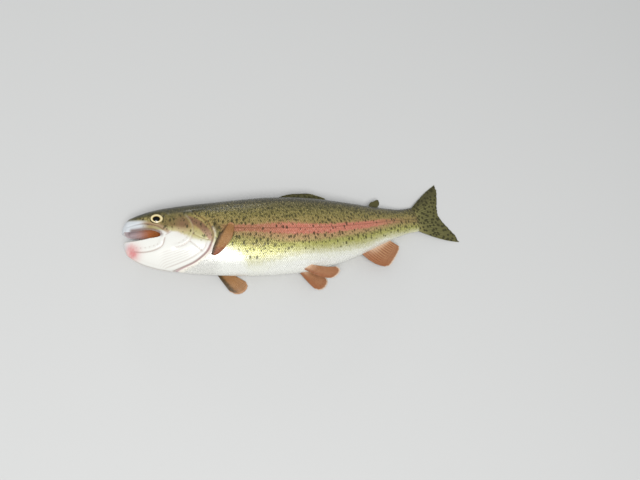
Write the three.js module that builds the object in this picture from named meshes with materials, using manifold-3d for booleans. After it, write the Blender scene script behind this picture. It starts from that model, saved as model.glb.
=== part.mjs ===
// A life-size rainbow trout lying on its right side, head towards -X, back towards +Y, in millimetres, +Z up.
//
// Every piece is first made on a straight fish, in the fish's own places: x is the distance back from the
// snout, y the height above the body's axis, and z the distance out to the fish's left. bendBody then lays
// that straight fish along its curved axis, and rest trims small flats where it touches the floor.

import * as THREE from "three";
import { mergeVertices } from "three/addons/utils/BufferGeometryUtils.js";
import Module from "manifold-3d";

const wasm = await Module();
wasm.setup();

// ---- Driving dimensions ------------------------------------------------------------------------------

const fleshEnd = 379; // where the flesh of the tail stalk ends between the tail fin's rays
const cutGap = 0.35; // the thin cut between two neighbouring pieces
const middleX = -215.83; // moves the snout to its place, with the origin under the middle of the fish
const middleY = -11;

// Each outline is a list of [distance from the snout, size], joined by a smooth curve.
const backHeight = smoothCurve([
  [0, 10], [8, 15], [20, 20.8], [30, 24.6], [45, 28.6], [60, 31.4], [80, 34.8], [105, 38.4], [140, 42.4],
  [175, 44.4], [200, 44], [230, 41.2], [270, 34.4], [310, 25.8], [340, 19.6], [360, 16.8], [379, 17.2],
]);
const bellyDepth = smoothCurve([
  [0, 23.5], [8, 31], [20, 38.4], [30, 42.4], [45, 46.4], [60, 48.6], [80, 50.2], [105, 51.2], [140, 52.4],
  [175, 53.2], [205, 52.6], [240, 48], [280, 38.4], [320, 26], [345, 19.4], [360, 17], [379, 17.2],
]);
const flankWidth = smoothCurve([
  [0, 8.8], [8, 11.8], [20, 15.8], [30, 18.2], [45, 21.4], [60, 24.2], [80, 26.8], [100, 27.8],
  [140, 28.8], [175, 29.4], [205, 29], [240, 26.4], [280, 21.4], [320, 15], [345, 10.4], [360, 7.4], [379, 3.4],
]);
// How square the section is above and below the axis: 2 is an ellipse.
const backSquareness = smoothCurve([[0, 2.3], [60, 2.3], [110, 2.05], [379, 2]]);
const bellySquareness = smoothCurve([[0, 1.9], [50, 1.75], [90, 1.95], [130, 2.25], [230, 2.1], [379, 2]]);
// The height of the body's axis over the floor: head and shoulder lie level, the tail droops to the floor.
const axisHeight = smoothCurve([
  [-10, 25.6], [0, 25.7], [60, 26.4], [90, 26.9], [110, 27.4], [175, 28.7], [215, 27.9], [260, 24.2], [310, 17.2],
  [350, 10.4], [379, 6], [405, 2.3], [422, 0.45], [440, 0.05],
]);
const tailSwing = 36; // how far the tail root is swung round towards the back
const swingFrom = 90;
const snoutRound = 9; // the length over which the snout rounds in to its tip
const tailRound = 5;

// ---- Curves ------------------------------------------------------------------------------------------

// A smooth function through the stations, with no overshoot between them.
function smoothCurve(stations) {
  const last = stations.length - 1;
  const steps = stations.slice(1).map(([x, y], i) => (y - stations[i][1]) / (x - stations[i][0]));
  const slopes = stations.map((_, i) => {
    if (i === 0) return steps[0];
    if (i === last) return steps[last - 1];
    const [before, after] = [steps[i - 1], steps[i]];
    return before * after <= 0 ? 0 : (2 * before * after) / (before + after);
  });
  return (x) => {
    const at = Math.min(Math.max(x, stations[0][0]), stations[last][0]);
    let i = 0;
    while (i < last - 1 && at > stations[i + 1][0]) i += 1;
    const [x0, y0] = stations[i];
    const [x1, y1] = stations[i + 1];
    const width = x1 - x0;
    const t = (at - x0) / width;
    return (
      y0 * (1 + 2 * t) * (1 - t) ** 2 +
      slopes[i] * width * t * (1 - t) ** 2 +
      y1 * t * t * (3 - 2 * t) +
      slopes[i + 1] * width * t * t * (t - 1)
    );
  };
}

// From 0 at an end of the flesh to 1 a rounding length away from it.
function endRound(x) {
  const front = Math.min(Math.max(x / snoutRound, 0), 1);
  const rear = Math.min(Math.max((fleshEnd - x) / tailRound, 0), 1);
  return Math.sqrt(1 - (1 - front) ** 2) * Math.sqrt(1 - (1 - rear) ** 2);
}

// A point of the straight fish's surface. turn is the angle down from the back, positive on the left side,
// and grow moves the surface out.
function fleshPoint(x, turn, grow = 0) {
  const upper = Math.cos(turn) >= 0;
  const round = endRound(x);
  const height = (upper ? backHeight(x) : bellyDepth(x)) * round + grow;
  const width = flankWidth(x) * round + grow;
  const power = 2 / (upper ? backSquareness(x) : bellySquareness(x));
  const out = Math.sign(Math.sin(turn)) * Math.abs(Math.sin(turn)) ** power;
  const up = Math.sign(Math.cos(turn)) * Math.abs(Math.cos(turn)) ** power;
  return new THREE.Vector3(x, Math.max(height, 0.01) * up, Math.max(width, 0.01) * out);
}

// How far out the flank is at a height above the axis.
function flankAt(x, y) {
  const tall = (y >= 0 ? backHeight(x) : bellyDepth(x)) * endRound(x);
  const power = (y >= 0 ? backSquareness : bellySquareness)(x);
  return flankWidth(x) * endRound(x) * (1 - Math.min(Math.abs(y) / tall, 1) ** power) ** (1 / power);
}

// ---- Solids ------------------------------------------------------------------------------------------

function solidOf(geometry) {
  const bare = new THREE.BufferGeometry();
  bare.setAttribute("position", geometry.getAttribute("position"));
  if (geometry.index) bare.setIndex(geometry.index);
  const merged = mergeVertices(bare, 1e-3);
  const vertProperties = new Float32Array(merged.attributes.position.array);
  const corners = Array.from(merged.index.array);
  const made = new wasm.Manifold(new wasm.Mesh({ numProp: 3, vertProperties, triVerts: new Uint32Array(corners) }));
  if (made.volume() > 0) return made;
  return new wasm.Manifold(new wasm.Mesh({ numProp: 3, vertProperties, triVerts: new Uint32Array(corners.reverse()) }));
}

// Moves each point of a three.js geometry by place(point) and makes it a solid.
function shaped(geometry, place) {
  const position = geometry.attributes.position;
  for (let i = 0; i < position.count; i += 1) {
    const moved = place(new THREE.Vector3().fromBufferAttribute(position, i));
    position.setXYZ(i, moved.x, moved.y, moved.z);
  }
  return solidOf(geometry);
}

// The whole flesh, or the same shape grown or shrunk by a wall. The sphere's poles are the snout and the tail end.
function flesh(grow = 0, around = 26, along = 42) {
  return shaped(new THREE.SphereGeometry(1, around, along), (p) => {
    const share = Math.acos(THREE.MathUtils.clamp(p.y, -1, 1)) / Math.PI;
    const x = THREE.MathUtils.lerp(-grow, fleshEnd + grow, share ** 1.25); // closer rings on the head
    if (Math.hypot(p.x, p.z) < 1e-5) return new THREE.Vector3(x, 0, 0);
    return fleshPoint(THREE.MathUtils.clamp(x, 0, fleshEnd), Math.atan2(p.x, p.z), grow).setX(x);
  });
}

// A side view outline, as smooth as its rounded points, made a slab across the fish from z0 to z1.
function slab(points, z0 = -60, z1 = 60) {
  const shape = new THREE.Shape(points.map(([x, y]) => new THREE.Vector2(x, y)));
  const geometry = new THREE.ExtrudeGeometry(shape, { depth: z1 - z0, bevelEnabled: false });
  return solidOf(geometry.translate(0, 0, z0));
}

// A smooth open line through a few points, as [x, y] pairs.
function line(points, steps = 8) {
  const curve = new THREE.SplineCurve(points.map(([x, y]) => new THREE.Vector2(x, y)));
  return curve.getPoints(steps).map((p) => [p.x, p.y]);
}

// An oval solid with its half sizes along and up the fish and out from it.
function oval(centre, [halfLong, halfTall, halfOut], around = 20, rings = 12) {
  return shaped(new THREE.SphereGeometry(1, around, rings), (p) =>
    new THREE.Vector3(p.x * halfLong, p.y * halfTall, p.z * halfOut).add(centre),
  );
}

// A closed side view outline moved out by a gap all round.
function grown(points, gap) {
  const count = points.length;
  const turn = points.reduce((sum, [x, y], i) => {
    const [nextX, nextY] = points[(i + 1) % count];
    return sum + x * nextY - nextX * y;
  }, 0);
  const away = ([fromX, fromY], [toX, toY]) => new THREE.Vector2(toY - fromY, fromX - toX).normalize();
  return points.map((point, i) => {
    const before = away(points[(i + count - 1) % count], point);
    const after = away(point, points[(i + 1) % count]);
    const middle = before.clone().add(after).normalize();
    const reach = (Math.sign(turn) * gap) / Math.max(middle.dot(after), 0.4);
    return [point[0] + middle.x * reach, point[1] + middle.y * reach];
  });
}

// ---- Lines that part the pieces, seen from the side ----------------------------------------------------

const gillOpening = [
  [84, 60], [79, 36], [77, 19], [84, 14.6], [93, 8.4], [100, 0.5], [104, -11], [101, -22], [96, -30.5], [84, -39.6],
  [68, -45.6], [56, -49.6], [46, -90],
];
const jawRear = [[47, -9.2], [52, -13], [52.5, -24], [47, -38], [38, -90]];
const coverFront = [[72, 24], [78, 8], [81.5, -6], [79, -20], [70, -31]];
const coverLow = [[77, -31.8], [84, -31.4], [93, -28.8], [112, -18]];
const throatTop = [[44, -28], [58, -30], [70, -32], [84, -32.4], [93, -29.4], [112, -18.4]];
const upperLip = [[-6, -3.6], [4, -3.4], [12, -3.7], [20, -3.8], [27, -2.8], [34, -3.2], [42, -5.4], [46.6, -8.8]];
const lowerLip = [[46.6, -9.4], [42, -11.5], [33, -12.7], [20, -14.8], [9, -15.3], [-6, -15.2]];
const maxillaTop = [[5, 1.2], [14, 3], [26, 4], [36, 2], [43, -1], [48.5, -5.2]];
const maxillaLow = [[50, -9.6], [46.6, -10.6], [42.4, -7.4], [35, -4.6], [26, -4], [14, -4.8], [5, -4.6]];

const headSide = [[-20, 60], ...line(gillOpening, 26), [-20, -90]];
const jawSide = [...line(jawRear), [-20, -90], [-20, -12]];
const throatSide = [...line(throatTop), [112, -90], [30, -90]];
const coverSide = [...line(coverFront), ...line(coverLow), [120, 24]];
const maxillaSide = [...line(maxillaTop), ...line(maxillaLow)];
const mouthSide = [...line(upperLip), ...line(lowerLip)];

// ---- Head --------------------------------------------------------------------------------------------

const eyeCentre = [40.1, 10.1]; // along and up
const eyeHalf = [8, 6.4, 4.6]; // the eyeball's half sizes along, up and out
const eyeDepth = 1.8; // from the cheek in to the eyeball's middle
const coverThickness = 4;
const maxillaThickness = 1.8;
const maxillaProud = 0.7;
const pouch = { centre: [30, -10, 0], half: [26, 9.4, 12.4] }; // the hollow of the mouth
const tongueSize = { centre: [27, -18.4, 0], half: [16, 4.8, 7] };

// The outer shell of the flesh inside a side view outline, on one side of the fish.
function shell(outline, outer, thickness, side) {
  const half = side > 0 ? slab(outline, 1, 60) : slab(outline, -60, -1);
  return flesh(outer).subtract(flesh(outer - thickness)).intersect(half);
}

// The room that such a shell takes out of the piece beneath it.
function shellSeat(outline, thickness) {
  return flesh(2).subtract(flesh(-thickness - cutGap)).intersect(slab(grown(outline, cutGap)));
}

function eyeball(side, grow = 0) {
  const [x, y] = eyeCentre;
  const centre = new THREE.Vector3(x, y, side * (flankAt(x, y) - eyeDepth));
  return oval(centre, eyeHalf.map((size) => size + grow), 16, 10);
}

function mouthPouch(grow = 0) {
  return oval(new THREE.Vector3(...pouch.centre), pouch.half.map((size) => size + grow), 16, 10);
}

function tongue() {
  return oval(new THREE.Vector3(...tongueSize.centre), tongueSize.half, 14, 8).intersect(mouthPouch(-cutGap));
}

function headPieces(whole) {
  const front = whole.intersect(slab(headSide)).subtract(slab(mouthSide)).subtract(mouthPouch());
  const jaw = front.intersect(slab(jawSide));
  const notJaw = front.subtract(slab(grown(jawSide, cutGap)));
  const throat = notJaw.intersect(slab(throatSide));
  const upper = notJaw.subtract(slab(grown(throatSide, cutGap)));
  const coverRoom = shellSeat(coverSide, coverThickness);
  const maxillaRoom = shellSeat(maxillaSide, maxillaThickness);
  const sockets = eyeball(1, cutGap).add(eyeball(-1, cutGap));
  return {
    head: upper.subtract(coverRoom).subtract(maxillaRoom).subtract(sockets),
    lower_jaw: jaw.subtract(maxillaRoom),
    throat: throat.subtract(maxillaRoom),
    cover: (side) => shell(coverSide, 0, coverThickness, side).intersect(upper),
    maxilla: (side) => shell(maxillaSide, maxillaProud, maxillaThickness + maxillaProud, side),
  };
}

// ---- Trunk -------------------------------------------------------------------------------------------

const trunkCuts = [186, 284]; // at the dorsal fin's root, and at the vent

function trunkPieces(whole) {
  const rear = whole.subtract(slab(grown(headSide, cutGap)));
  const [first, second] = trunkCuts;
  const lengthwise = (x0, x1) => rear.intersect(slab([[x0, -90], [x1, -90], [x1, 90], [x0, 90]]));
  return {
    trunk_front: lengthwise(0, first),
    trunk_rear: lengthwise(first + cutGap, second),
    tail_stalk: lengthwise(second + cutGap, fleshEnd + 20),
  };
}

// ---- Fins --------------------------------------------------------------------------------------------

// A fin's blade between its root, sunk in the flesh, and its free margin, both from its leading edge back.
// bow pushes the middle of each ray out, by its place from the leading edge, and a fin with a lift lies
// along the left flank, so far out from it at its root and at its margin.
function fin({ root, margin, thick = [2.4, 0.8], bow = () => [0, 0, 0], lift, rays = 8, rows = 4 }) {
  const rootCurve = new THREE.CatmullRomCurve3(root.map((p) => new THREE.Vector3(...p)));
  const marginCurve = new THREE.CatmullRomCurve3(margin.map((p) => new THREE.Vector3(...p)));
  const [rootThick, tipThick] = thick;
  return shaped(new THREE.BoxGeometry(1, 1, 1, rays, rows, 1), (p) => {
    const across = p.x + 0.5;
    const out = p.y + 0.5;
    const from = rootCurve.getPoint(across);
    const to = marginCurve.getPoint(across);
    const ray = to.clone().sub(from);
    const normal = rootCurve.getTangent(across).cross(ray).normalize();
    const bend = new THREE.Vector3(...bow(across)).multiplyScalar(Math.sin(Math.PI * out));
    const half = THREE.MathUtils.lerp(rootThick, tipThick, out) / 2;
    const middle = from.addScaledVector(ray, out).add(bend);
    if (lift) middle.z += flankAt(middle.x, middle.y) + THREE.MathUtils.lerp(lift[0], lift[1], out);
    return middle.addScaledVector(normal, half * Math.sign(p.z));
  });
}

// The floor is at this place out from the body's axis, so far along the fish.
const floorAt = (x) => -axisHeight(x);

const finShapes = {
  // Folded low along the back, its long front rays swept to the rear.
  dorsal_fin: {
    root: [[180, 41.5, 0], [196, 41.4, 0], [214, 40.2, 0], [232, 37.6, 0]],
    margin: [[224, 50.4, -1.2], [234, 49, -1.4], [245, 45, -1], [255, 40.4, -0.4]],
    bow: (across) => [-2 * (1 - across), 2.6 * (1 - across), 0],
  },
  adipose_fin: {
    root: [[311, 23, 0], [316, 22, 0], [321, 20.6, 0]],
    margin: [[323, 34, -0.4], [328.5, 34.4, -0.5], [329.5, 29, -0.3]],
    thick: [3, 1.4],
    bow: (across) => [-2.6 * (1 - across), 2 * (1 - across), 0],
    rays: 8,
    rows: 4,
  },
  caudal_fin: {
    root: [[371, 13.8, 0], [373, 8, 0], [374, 0, 0], [373, -8, 0], [371, -13.8, 0]],
    margin: [[425, 43, 0], [422, 30, 0], [415, 13, 0], [411.5, 0, 0], [415, -13, 0], [422.5, -30, 0], [426, -43, 0]],
    thick: [3.4, 0.9],
    bow: (across) => [0, 2.4 * (1 - 2 * across) ** 3, 0],
    rays: 16,
  },
  anal_fin: {
    root: [[284, -34.6, 0], [298, -29.6, 0], [312, -25, 0], [325, -21, 0]],
    margin: [[317, -58, -3.4], [325, -51.5, -2.8], [334, -42, -1.6], [340.5, -33.5, -0.6]],
    bow: (across) => [-2 * (1 - across), -2.5 * (1 - across), 0],
  },
  // The left pectoral fin is thrown up along the flank, half folded.
  pectoral_fin_left: {
    root: [[102.5, -33, 0], [107, -34, 0], [112, -31.6, 0]],
    margin: [[119, -2.2, 0], [123.8, 2.4, 0], [128.2, 1, 0], [129.8, -4.6, 0]],
    thick: [2.6, 0.9],
    bow: (across) => [-2.2 + 5 * across, 1 - 2 * across, 0],
    lift: [-0.8, 4.4],
    rays: 8,
    rows: 7,
  },
  // The right one is swept back and out over the floor.
  pectoral_fin_right: {
    root: [[102.5, -34, -13.5], [106.5, -35.5, -15], [111, -34, -15.5]],
    margin: [
      [127, -68, floorAt(127) + 0.3], [137, -68, floorAt(137) + 0.3],
      [144, -63, floorAt(144) + 0.3], [147, -55, floorAt(147) + 0.6],
    ],
    thick: [2.8, 0.9],
    bow: () => [0, 0, -1.5],
    rays: 10,
  },
  pelvic_fin_left: {
    root: [[203, -47, 6], [207, -47, 8.5], [211.5, -45.5, 10.5]],
    margin: [[236, -66, 6], [243, -64, 9], [248, -59.5, 12], [247.5, -54, 14.5]],
    thick: [2.8, 0.9],
    bow: () => [0, -2, 1],
    rays: 8,
  },
  pelvic_fin_right: {
    root: [[203, -47, -6], [207, -47, -8.5], [211.5, -45.5, -10.5]],
    margin: [
      [229, -71, floorAt(229) + 0.3], [238, -69, floorAt(238) + 0.3],
      [244, -62, floorAt(244) + 0.3], [243, -54, floorAt(243) + 0.8],
    ],
    thick: [2.8, 0.9],
    bow: () => [0, -1.5, -1],
    rays: 8,
  },
};

// ---- The fish laid down --------------------------------------------------------------------------------

const axisStep = 1;
const axisFrom = -10;
const axisTo = 445;

const swing = (x) => tailSwing * (Math.max(x - swingFrom, 0) / (fleshEnd - swingFrom)) ** 2;

// How far along the floor each place on the axis comes, because a bent stretch covers less of it.
const axisReach = [axisFrom];
for (let x = axisFrom; x < axisTo; x += axisStep) {
  const drop = axisHeight(x + axisStep) - axisHeight(x);
  const aside = swing(x + axisStep) - swing(x);
  axisReach.push(axisReach[axisReach.length - 1] + Math.sqrt(axisStep ** 2 - drop ** 2 - aside ** 2));
}

function reachAt(x) {
  const at = THREE.MathUtils.clamp((x - axisFrom) / axisStep, 0, axisReach.length - 1.001);
  const below = Math.floor(at);
  return THREE.MathUtils.lerp(axisReach[below], axisReach[below + 1], at - below);
}

// A point of the straight fish, laid along the body's real axis.
function bendBody([x, y, z]) {
  const along = new THREE.Vector3(
    reachAt(x + 2) - reachAt(x - 2),
    swing(x + 2) - swing(x - 2),
    axisHeight(x + 2) - axisHeight(x - 2),
  ).normalize();
  const up = new THREE.Vector3(-along.y, along.x, 0).normalize();
  const out = along.clone().cross(up);
  return new THREE.Vector3(middleX + reachAt(x), middleY + swing(x), axisHeight(x))
    .addScaledVector(up, y)
    .addScaledVector(out, z)
    .toArray();
}

// Bends a solid and cuts it level where it would sink in the floor.
function rest(solid) {
  const aboveFloor = solidOf(new THREE.BoxGeometry(900, 500, 300).translate(0, 0, 150));
  return solid
    .warp((point) => {
      [point[0], point[1], point[2]] = bendBody(point);
    })
    .intersect(aboveFloor);
}

// ---- Colours and the finished group ---------------------------------------------------------------------

const finish = (colour, roughness) => new THREE.MeshStandardMaterial({ color: colour, roughness, metalness: 0 });
const skins = {
  back: finish(0x8a8750, 0.35),
  cheek: finish(0xa5825f, 0.35),
  white: finish(0xefece2, 0.35),
  lip: finish(0xc9c3c6, 0.3),
  fin: finish(0x9a6b45, 0.45),
  darkFin: finish(0x77734a, 0.45),
  eye: finish(0xd8c58a, 0.15),
  tongue: finish(0xd59a80, 0.4),
};

const fish = new THREE.Group();

function addPiece(name, solid, material) {
  const mesh = rest(solid).getMesh();
  const geometry = new THREE.BufferGeometry();
  geometry.setAttribute("position", new THREE.BufferAttribute(new Float32Array(mesh.vertProperties), 3));
  geometry.setIndex(new THREE.BufferAttribute(new Uint32Array(mesh.triVerts), 1));
  geometry.computeVertexNormals();
  const piece = new THREE.Mesh(geometry, material);
  piece.name = name;
  fish.add(piece);
}

const whole = flesh();
const { head, lower_jaw: lowerJaw, throat, cover, maxilla } = headPieces(whole);
addPiece("head", head, skins.back);
addPiece("lower_jaw", lowerJaw, skins.white);
addPiece("throat", throat, skins.white);
addPiece("tongue", tongue(), skins.tongue);
for (const [side, sideName] of [[1, "left"], [-1, "right"]]) {
  addPiece(`gill_cover_${sideName}`, cover(side), skins.cheek);
  addPiece(`maxilla_${sideName}`, maxilla(side), skins.lip);
  addPiece(`eye_${sideName}`, eyeball(side), skins.eye);
}
for (const [name, solid] of Object.entries(trunkPieces(whole))) addPiece(name, solid, skins.back);
const finRoom = flesh(cutGap);
const darkFins = ["dorsal_fin", "caudal_fin", "adipose_fin"];
for (const [name, shape] of Object.entries(finShapes)) {
  addPiece(name, fin(shape).subtract(finRoom), darkFins.includes(name) ? skins.darkFin : skins.fin);
}

export default fish;
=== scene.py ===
import math

import bmesh
import bpy
import numpy as np
from mathutils import Matrix, Vector


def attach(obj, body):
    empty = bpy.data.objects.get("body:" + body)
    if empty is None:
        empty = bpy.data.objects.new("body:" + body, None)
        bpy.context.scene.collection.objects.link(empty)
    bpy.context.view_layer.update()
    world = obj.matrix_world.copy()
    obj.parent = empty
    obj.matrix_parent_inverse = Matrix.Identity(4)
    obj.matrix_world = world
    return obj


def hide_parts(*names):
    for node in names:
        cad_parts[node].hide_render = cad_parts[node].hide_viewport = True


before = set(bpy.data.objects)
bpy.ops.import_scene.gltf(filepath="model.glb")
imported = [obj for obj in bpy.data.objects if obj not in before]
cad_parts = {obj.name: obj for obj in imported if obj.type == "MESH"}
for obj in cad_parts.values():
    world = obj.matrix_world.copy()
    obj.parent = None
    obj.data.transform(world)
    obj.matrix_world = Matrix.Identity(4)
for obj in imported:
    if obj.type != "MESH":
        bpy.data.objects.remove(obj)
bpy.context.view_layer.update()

mm = 0.001
rng = np.random.default_rng(7)

# The fish is first made straight: x runs back from the snout, y up from the body's axis towards the back,
# z out to its left, all in millimetres. layDown then puts it on the floor, in metres.
body = {
    "fleshEnd": 379, "snoutRound": 9, "tailRound": 5,
    "back": [(0, 10), (8, 15), (20, 20.8), (30, 24.6), (45, 28.6), (60, 31.4), (80, 34.8), (105, 38.4),
             (140, 42.4), (175, 44.4), (200, 44), (230, 41.2), (270, 34.4), (310, 25.8), (340, 19.6),
             (360, 16.8), (379, 17.2)],
    "belly": [(0, 23.5), (8, 31), (20, 38.4), (30, 42.4), (45, 46.4), (60, 48.6), (80, 50.2), (105, 51.2),
              (140, 52.4), (175, 53.2), (205, 52.6), (240, 48), (280, 38.4), (320, 26), (345, 19.4),
              (360, 17), (379, 17.2)],
    "flank": [(0, 8.8), (8, 11.8), (20, 15.8), (30, 18.2), (45, 21.4), (60, 24.2), (80, 26.8), (100, 27.8),
              (140, 28.8), (175, 29.4), (205, 29), (240, 26.4), (280, 21.4), (320, 15), (345, 10.4),
              (360, 7.4), (379, 3.4)],
    "backSquare": [(0, 2.3), (60, 2.3), (110, 2.05), (379, 2)],
    "bellySquare": [(0, 1.9), (50, 1.75), (90, 1.95), (130, 2.25), (230, 2.1), (379, 2)],
    "axisHeight": [(-10, 25.6), (0, 25.7), (60, 26.4), (90, 26.9), (110, 27.4), (175, 28.7), (215, 27.9),
                   (260, 24.2), (310, 17.2), (350, 10.4), (379, 6), (405, 2.3), (422, 0.45), (440, 0.05)],
    "swing": 36, "swingFrom": 90,  # the tail's turn towards the back
    "middle": (-215.83, -11),
    "coatDepth": 0.45,  # how far the skin lies inside the fish's outline
    "lateralLine": [(0, 1), (70, 3), (104, 2), (131, -3), (180, -5), (228, -6.5), (280, -4.5), (330, -1.5),
                    (379, 0)],
}


def smoothCurve(stations):
    # A smooth function through the stations, with no overshoot between them.
    x, y = np.array(stations, float).T
    steps = np.diff(y) / np.diff(x)
    before, after = steps[:-1], steps[1:]
    level = before * after <= 0
    inner = np.where(level, 0, 2 * before * after / np.where(level, 1, before + after))
    slopes = np.concatenate([steps[:1], inner, steps[-1:]])

    def value(at):
        at = np.clip(np.asarray(at, float), x[0], x[-1])
        i = np.clip(np.searchsorted(x, at) - 1, 0, len(x) - 2)
        width = x[i + 1] - x[i]
        t = (at - x[i]) / width
        ends = y[i] * (1 + 2 * t) * (1 - t) ** 2 + y[i + 1] * t * t * (3 - 2 * t)
        return ends + width * t * (1 - t) * (slopes[i] * (1 - t) - slopes[i + 1] * t)

    return value


backHeight, bellyDepth, flankWidth, lateralLine = (
    smoothCurve(body[k]) for k in ("back", "belly", "flank", "lateralLine"))
backSquare, bellySquare, axisHeight = (
    smoothCurve(body[k]) for k in ("backSquare", "bellySquare", "axisHeight"))


def ramp(value, low, high):
    t = np.clip((np.asarray(value, float) - low) / (high - low), 0, 1)
    return t * t * (3 - 2 * t)


def bump(value, centre, width):
    return np.exp(-(((np.asarray(value, float) - centre) / width) ** 2))


def endRound(x):
    front = np.clip(x / body["snoutRound"], 0, 1)
    rear = np.clip((body["fleshEnd"] - x) / body["tailRound"], 0, 1)
    return np.sqrt(1 - (1 - front) ** 2) * np.sqrt(1 - (1 - rear) ** 2)


def section(x, upper, grow=0):
    # The height, half width and squareness of one half of the body's section.
    tall = np.where(upper, backHeight(x), bellyDepth(x)) * endRound(x) + grow
    wide = flankWidth(x) * endRound(x) + grow
    return np.maximum(tall, 0.02), np.maximum(wide, 0.02), np.where(upper, backSquare(x), bellySquare(x))


def bodyPoint(x, turn, grow=0):
    # turn is the angle down from the back, positive on the left side.
    tall, wide, power = section(x, np.cos(turn) >= 0, grow)
    up = np.sign(np.cos(turn)) * np.abs(np.cos(turn)) ** (2 / power)
    out = np.sign(np.sin(turn)) * np.abs(np.sin(turn)) ** (2 / power)
    return np.stack([x + 0 * turn, tall * up, wide * out], -1)


def depthIn(p):
    # 1 on the body's outline, less inside it.
    tall, wide, power = section(p[:, 0], p[:, 1] >= 0)
    return (np.abs(p[:, 1] / tall) ** power + np.abs(p[:, 2] / wide) ** power) ** (1 / power)


def flankAt(x, y):
    tall, wide, power = section(x, np.asarray(y) >= 0)
    return wide * (1 - np.minimum(np.abs(y) / tall, 1) ** power) ** (1 / power)


axisX = np.arange(-10, 446.0)
swingShare = np.maximum(axisX - body["swingFrom"], 0) / (body["fleshEnd"] - body["swingFrom"])
axisSwing = body["swing"] * swingShare**2
axisRun = np.sqrt(1 - np.diff(axisHeight(axisX)) ** 2 - np.diff(axisSwing) ** 2)
axisReach = axisX[0] + np.concatenate([[0], np.cumsum(axisRun)])


def axisPoint(x):
    return np.stack([np.interp(x, axisX, axisReach), np.interp(x, axisX, axisSwing), axisHeight(x)], -1)


def layDown(p):
    # Points of the straight fish in millimetres, laid along its real axis on the floor, in metres.
    along = axisPoint(p[:, 0] + 2) - axisPoint(p[:, 0] - 2)
    along /= np.linalg.norm(along, axis=1, keepdims=True)
    up = np.stack([-along[:, 1], along[:, 0], 0 * along[:, 0]], -1)
    up /= np.linalg.norm(up, axis=1, keepdims=True)
    out = np.cross(along, up)
    laid = axisPoint(p[:, 0]) + up * p[:, 1:2] + out * p[:, 2:3]
    laid[:, :2] += body["middle"]
    return laid * mm


def girthTable():
    # For each place along the body and each distance round it from the lateral line, the turn of that point.
    xs = np.arange(0, body["fleshEnd"] + 0.1, 1.0)
    turns = np.linspace(0, math.pi, 721)
    girths = np.arange(-90, 90.1, 0.5)
    table = np.empty((len(xs), len(girths)))
    for i, x in enumerate(xs):
        ring = bodyPoint(x, turns)
        run = np.concatenate([[0], np.cumsum(np.linalg.norm(np.diff(ring, axis=0), axis=1))])
        start = np.interp(-float(lateralLine(x)), -ring[:, 1], run)
        table[i] = np.interp(-girths, run - start, turns)
    return girths, table


def gridLookup(table, i, j):
    # A table's value between its rows and columns.
    i = np.clip(i, 0, table.shape[0] - 1.001)
    j = np.clip(j, 0, table.shape[1] - 1.001)
    a, b = i.astype(int), j.astype(int)
    s, t = i - a, j - b
    low = table[a, b] * (1 - t) + table[a, b + 1] * t
    return low * (1 - s) + (table[a + 1, b] * (1 - t) + table[a + 1, b + 1] * t) * s


# Helpers for meshes and lines.

def newObject(name, mesh):
    piece = bpy.data.objects.new(name, mesh)
    bpy.context.scene.collection.objects.link(piece)
    return piece


def fromBmesh(name, bm):
    mesh = bpy.data.meshes.new(name)
    bm.to_mesh(mesh)
    bm.free()
    return newObject(name, mesh)


def ball(name, spokes, rings):
    bm = bmesh.new()
    bmesh.ops.create_uvsphere(bm, u_segments=spokes, v_segments=rings, radius=1)
    return fromBmesh(name, bm)


def outlineFace(outline, z):
    # A flat face in the fish's side view.
    bm = bmesh.new()
    face = bm.faces.new([bm.verts.new((x, y, z)) for x, y in outline])
    bmesh.ops.triangulate(bm, faces=[face])
    return bm


def extruded(bm, rise):
    # Makes a flat mesh a slab of the given height, with its faces outwards, and gives the points of its top.
    grown = bmesh.ops.extrude_face_region(bm, geom=bm.faces[:])
    top = [v for v in grown["geom"] if isinstance(v, bmesh.types.BMVert)]
    bmesh.ops.translate(bm, verts=top, vec=(0, 0, rise))
    bmesh.ops.recalc_face_normals(bm, faces=bm.faces[:])
    return top


def readPoints(mesh, normals=False):
    values = np.empty(len(mesh.vertices) * 3)
    if normals:
        mesh.vertex_normals.foreach_get("vector", values)
    else:
        mesh.vertices.foreach_get("co", values)
    return values.reshape(-1, 3)


def writePoints(mesh, co):
    mesh.vertices.foreach_set("co", np.ascontiguousarray(co, dtype=np.float32).ravel())
    mesh.update()


def settle(piece, p, least=None):
    # Lays down the piece's points, given in the straight fish, no lower than the least height over the floor.
    laid = layDown(p)
    if least is not None:
        laid[:, 2] = np.maximum(laid[:, 2], least * mm)
    writePoints(piece.data, laid)
    piece.data.polygons.foreach_set("use_smooth", np.ones(len(piece.data.polygons), bool))
    piece.data.update()


def applied(piece):
    # Gives the piece the mesh that its modifiers make.
    graph = bpy.context.evaluated_depsgraph_get()
    mesh = bpy.data.meshes.new_from_object(piece.evaluated_get(graph))
    piece.modifiers.clear()
    piece.data, old = mesh, piece.data
    bpy.data.meshes.remove(old)
    mesh.name = piece.name
    return piece


def removed(*pieces):
    for piece in pieces:
        mesh = piece.data
        bpy.data.objects.remove(piece)
        bpy.data.meshes.remove(mesh)


def store(mesh, name, values):
    values = np.ascontiguousarray(values, dtype=np.float32)
    isVector = values.ndim == 2
    layer = mesh.attributes.new(name, "FLOAT_VECTOR" if isVector else "FLOAT", "POINT")
    layer.data.foreach_set("vector" if isVector else "value", values.ravel())


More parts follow.
